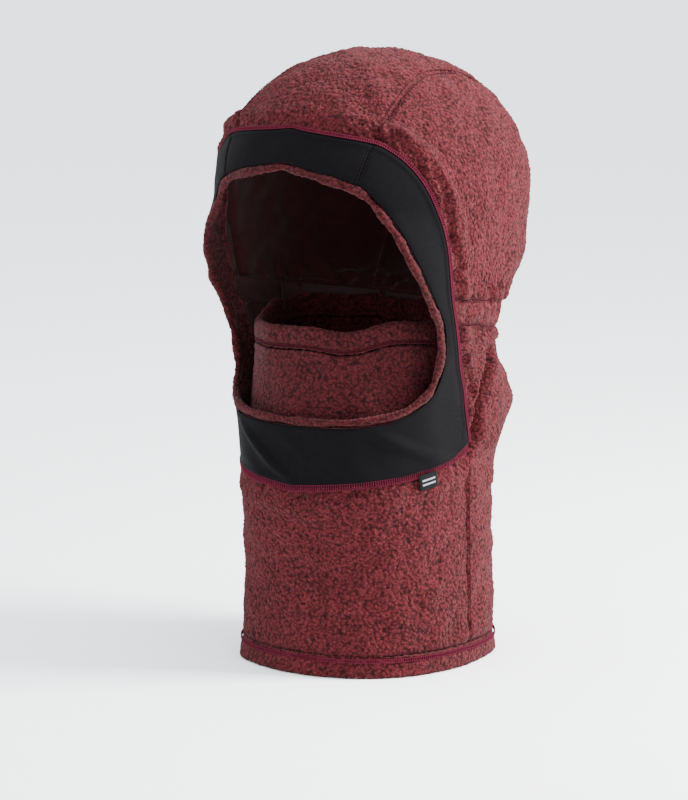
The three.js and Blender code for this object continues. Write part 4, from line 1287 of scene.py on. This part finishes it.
def build_gaiter_hem(folds_at_rim, angle):
    depth = 2 * GAITER_FLEECE + ELASTIC_CHANNEL
    top, low = GAITER_RIM_TOP, HEM_BOTTOM + 0.3
    corners = [
        [0, low], [0.6, low + 9], [0, top - 2.2], [-2, top], [2 - depth, top],
        [-depth, top - 2.2], [-depth, low], [GAITER_FLEECE - depth, low],
        [GAITER_FLEECE - depth, top - GAITER_FLEECE], [-GAITER_FLEECE, top - GAITER_FLEECE],
        [-GAITER_FLEECE, low],
    ]
    outline = rounded(corners, 1.15)
    points = wavy_ring(outline, folds_at_rim, angle)
    n = facing_out(points)
    inside = (outline[:, 1] < top - GAITER_FLEECE + 0.6) & (outline[:, 0] < -GAITER_FLEECE + 0.6)
    inside &= outline[:, 0] > GAITER_FLEECE - depth - 0.6
    weights = np.where(inside, 0.0, 1.0)[None] * (1 - 0.7 * bell(outline[:, 1] - low - 2.5, 1.6))
    points = points - n * (1.3 * bell(outline[:, 1] - low - 2.5, 1.5))[None, :, None]
    obj = furry_ring("gaiter_hem_pile", points, n, weights, 112)
    finish_piece(obj, [PILE_IN_PAINTED_SHADE], "gaiter_fleece", "gaiter_rim", "gaiter_hem")
    out = -GAITER_FLEECE - LAYER_GAP
    band_low, band_top, inside_out = top - 14.5, top - 3.2, out - 1.2
    band = rounded([[out, band_low], [out, band_top], [inside_out, band_top],
                    [inside_out, band_low]], 1.0)
    elastic_ring("gaiter_hem_elastic_band", wavy_ring(band, folds_at_rim, angle), band,
                 "gaiter_rim", "gaiter_hem_elastic")
    line = wavy_ring(np.array([[0.0, low + 2.5]]), folds_at_rim, angle)[:, 0]
    line = np.concatenate([line, line[:1]])
    sew("gaiter_hem_threads", line, level_out(line), cover_stitch(2.0, -0.2, 2.0),
        2.0, 0.27, SEAM_THREAD, "stitch_thread", "gaiter_rim", ["gaiter_hem_stitch"])


def wavy_ring(outline, folds, angle):
    """A ring at the gaiter's rim that follows the tube's folds and the rim's rise and fall."""
    angle = angle[:, None]
    r = gaiter_rim_radius(angle) + outline[None, :, 0] + folds[:, None]
    return round_axis(r, angle, outline[None, :, 1] + rim_wave(angle))


def build_tape():
    low, high = GAITER_SEAM - TAPE_HEIGHT, GAITER_SEAM - LAYER_GAP
    corners = [[-TAPE_OUTSIDE, low], [-TAPE_OUTSIDE, high], [-TAPE_INSIDE, high],
               [-TAPE_INSIDE, low]]
    outline = rounded(corners, 0.9)
    points, _ = ring_points(section_radius, outline, 300)
    elastic_ring("gaiter_seam_tape_band", points, outline, "hood", "gaiter_seam_tape")


def build_nape_elastic():
    angles = np.radians(np.linspace(100, 260, 361))
    upper = nape_height(angles, BAND_TOP_AT, 0)
    lower = nape_height(angles, BAND_BOTTOM_AT, NAPE_BAND_HEIGHT)
    level = np.ones(len(angles))
    across = np.linspace(7, -7, 16)[:, None]
    grid = on_hood(angles[None], (upper + lower)[None] / 2 + across)
    n = normals_at(grid)
    rib = 0.25 * np.cos(np.linspace(0, 10 * math.pi, 16))[:, None] * level
    out = grid - n * (6.2 + rib)[..., None]
    inner = (grid - n * 5.0)[::3, ::3]
    obj = sheet_mesh("nape_elastic_band", out, inner, {"run": (across * level, 0)})
    finish_piece(obj, [ELASTIC, ELASTIC], "elastic", "hood", "nape_elastic")


# ---------------------------------------------------------------- label

LABEL_ANGLE, LABEL_HALF_WIDTH, LABEL_DROP = 60, 9, 13


def build_label():
    """A small folded tab with two plain bars, sewn in under the chin trim."""
    low, high = float(CORNER), float(CHIN)
    for _ in range(40):
        middle = (low + high) / 2
        if trim_outer(middle)[0] > math.radians(LABEL_ANGLE):
            low = middle
        else:
            high = middle
    here = outer_places(low)
    n = normals_at(here)
    across = unit(outer_places(low - 0.2) - outer_places(low + 0.2))
    up = np.cross(n, across)
    if up[2] < 0:
        up = -up
    half, drop = LABEL_HALF_WIDTH, LABEL_DROP
    u, v = np.meshgrid(np.linspace(-half, half, 61), np.linspace(0, -drop, 43))
    swell = 0.25 * np.cos(u / half * 1.4) - 0.5 * bell(v + drop, 1.2)
    swell -= 0.5 * bell(np.abs(u) - half, 0.8)
    bars = np.maximum(bell(v + 4.8, 0.7) ** 2, bell(v + 8.4, 0.7) ** 2) * (np.abs(u) < 6.4)
    out = 3.3 + swell + 0.12 * bars + 0.05 * np.sin(u * 7) * np.sin(v * 7)
    flat = here + u[..., None] * across + v[..., None] * up
    face = flat + out[..., None] * n
    plate = flat + 2.35 * n
    obj = sheet_mesh("label_tab", face, plate[::3, ::3], {"bar": (np.clip(bars * 2, 0, 1), 0)})
    finish_piece(obj, [LABEL, LABEL], "woven_label", "label", "woven_label")


# ---------------------------------------------------------------- floor, light and camera

def plain(name, color):
    return Nodes(name, Base_Color=(*color, 1), Roughness=0.9, Specular_IOR_Level=0.1).material


def build_floor():
    mesh = bpy.data.meshes.new("studio_floor")
    z, half = CAD_BOX[0].z - 0.0005, 6
    mesh.from_pydata([(-half, -half, z), (half, -half, z), (half, half, z), (-half, half, z)], [],
                     [(0, 1, 2, 3)])
    floor = bpy.data.objects.new("studio_floor", mesh)
    mesh.materials.append(plain("pale_floor", (0.93, 0.945, 0.955)))
    bpy.context.scene.collection.objects.link(floor)


CAMERA_SIDE, CAMERA_UP, CAMERA_DISTANCE, CAMERA_LENS = 35, 10, 3.643, 200
AIM_RIGHT, AIM_UP = -0.0221, -0.0405  # metres from the middle of the head


def from_side(azimuth, elevation):
    a, e = math.radians(azimuth), math.radians(elevation)
    return Vector((math.sin(a) * math.cos(e), -math.cos(a) * math.cos(e), math.sin(e)))


def area_light(name, azimuth, elevation, distance, size, power):
    light = bpy.data.lights.new(name, "AREA")
    light.energy, light.size = power, size
    obj = bpy.data.objects.new(name, light)
    way = from_side(azimuth, elevation)
    obj.location = way * distance
    obj.rotation_mode = "QUATERNION"
    obj.rotation_quaternion = (-way).to_track_quat("-Z", "Y")
    bpy.context.scene.collection.objects.link(obj)


def build_studio():
    world = bpy.data.worlds.new("studio")
    world.use_nodes = True
    world.node_tree.nodes["Background"].inputs["Color"].default_value = (0.93, 0.96, 1, 1)
    world.node_tree.nodes["Background"].inputs["Strength"].default_value = 2.7
    bpy.context.scene.world = world
    area_light("key", 118, 34, 1.6, 0.6, 125)
    area_light("fill", -40, 18, 1.8, 1.2, 3)
    area_light("top", 30, 78, 1.6, 1.0, 9)


def build_camera():
    """Aims so that the object stands in the frame as the design view has it."""
    toward = from_side(CAMERA_SIDE, CAMERA_UP)
    side = math.radians(CAMERA_SIDE)
    right = Vector((math.cos(side), math.sin(side), 0))
    up = toward.cross(right)
    aim = Vector((0, 0, (250 + HEM_Z) * MM)) + right * AIM_RIGHT + up * AIM_UP
    camera = bpy.data.cameras.new("camera")
    camera.lens = CAMERA_LENS
    camera.clip_end = 50
    obj = bpy.data.objects.new("camera", camera)
    obj.location = aim + toward * CAMERA_DISTANCE
    obj.rotation_mode = "QUATERNION"
    obj.rotation_quaternion = (-toward).to_track_quat("-Z", "Y")
    bpy.context.scene.collection.objects.link(obj)
    bpy.context.scene.camera = obj


build_camera()
build_studio()
build_floor()
build_panels()
woven_piece("face_trim_top", 0, CROWN_SEAM, 9, 12)
woven_piece("face_trim_lower", CROWN_SEAM, CHIN, 9, 9)
facing_piece("trim_facing_top", 0, CROWN_SEAM, 9, 12)
facing_piece("trim_facing_lower", CROWN_SEAM, CHIN, 9, 9)
build_binding()
build_hood_stitching()
build_cover_stitching()
build_neck_hem()
build_gaiter()
build_tape()
build_nape_elastic()
build_label()
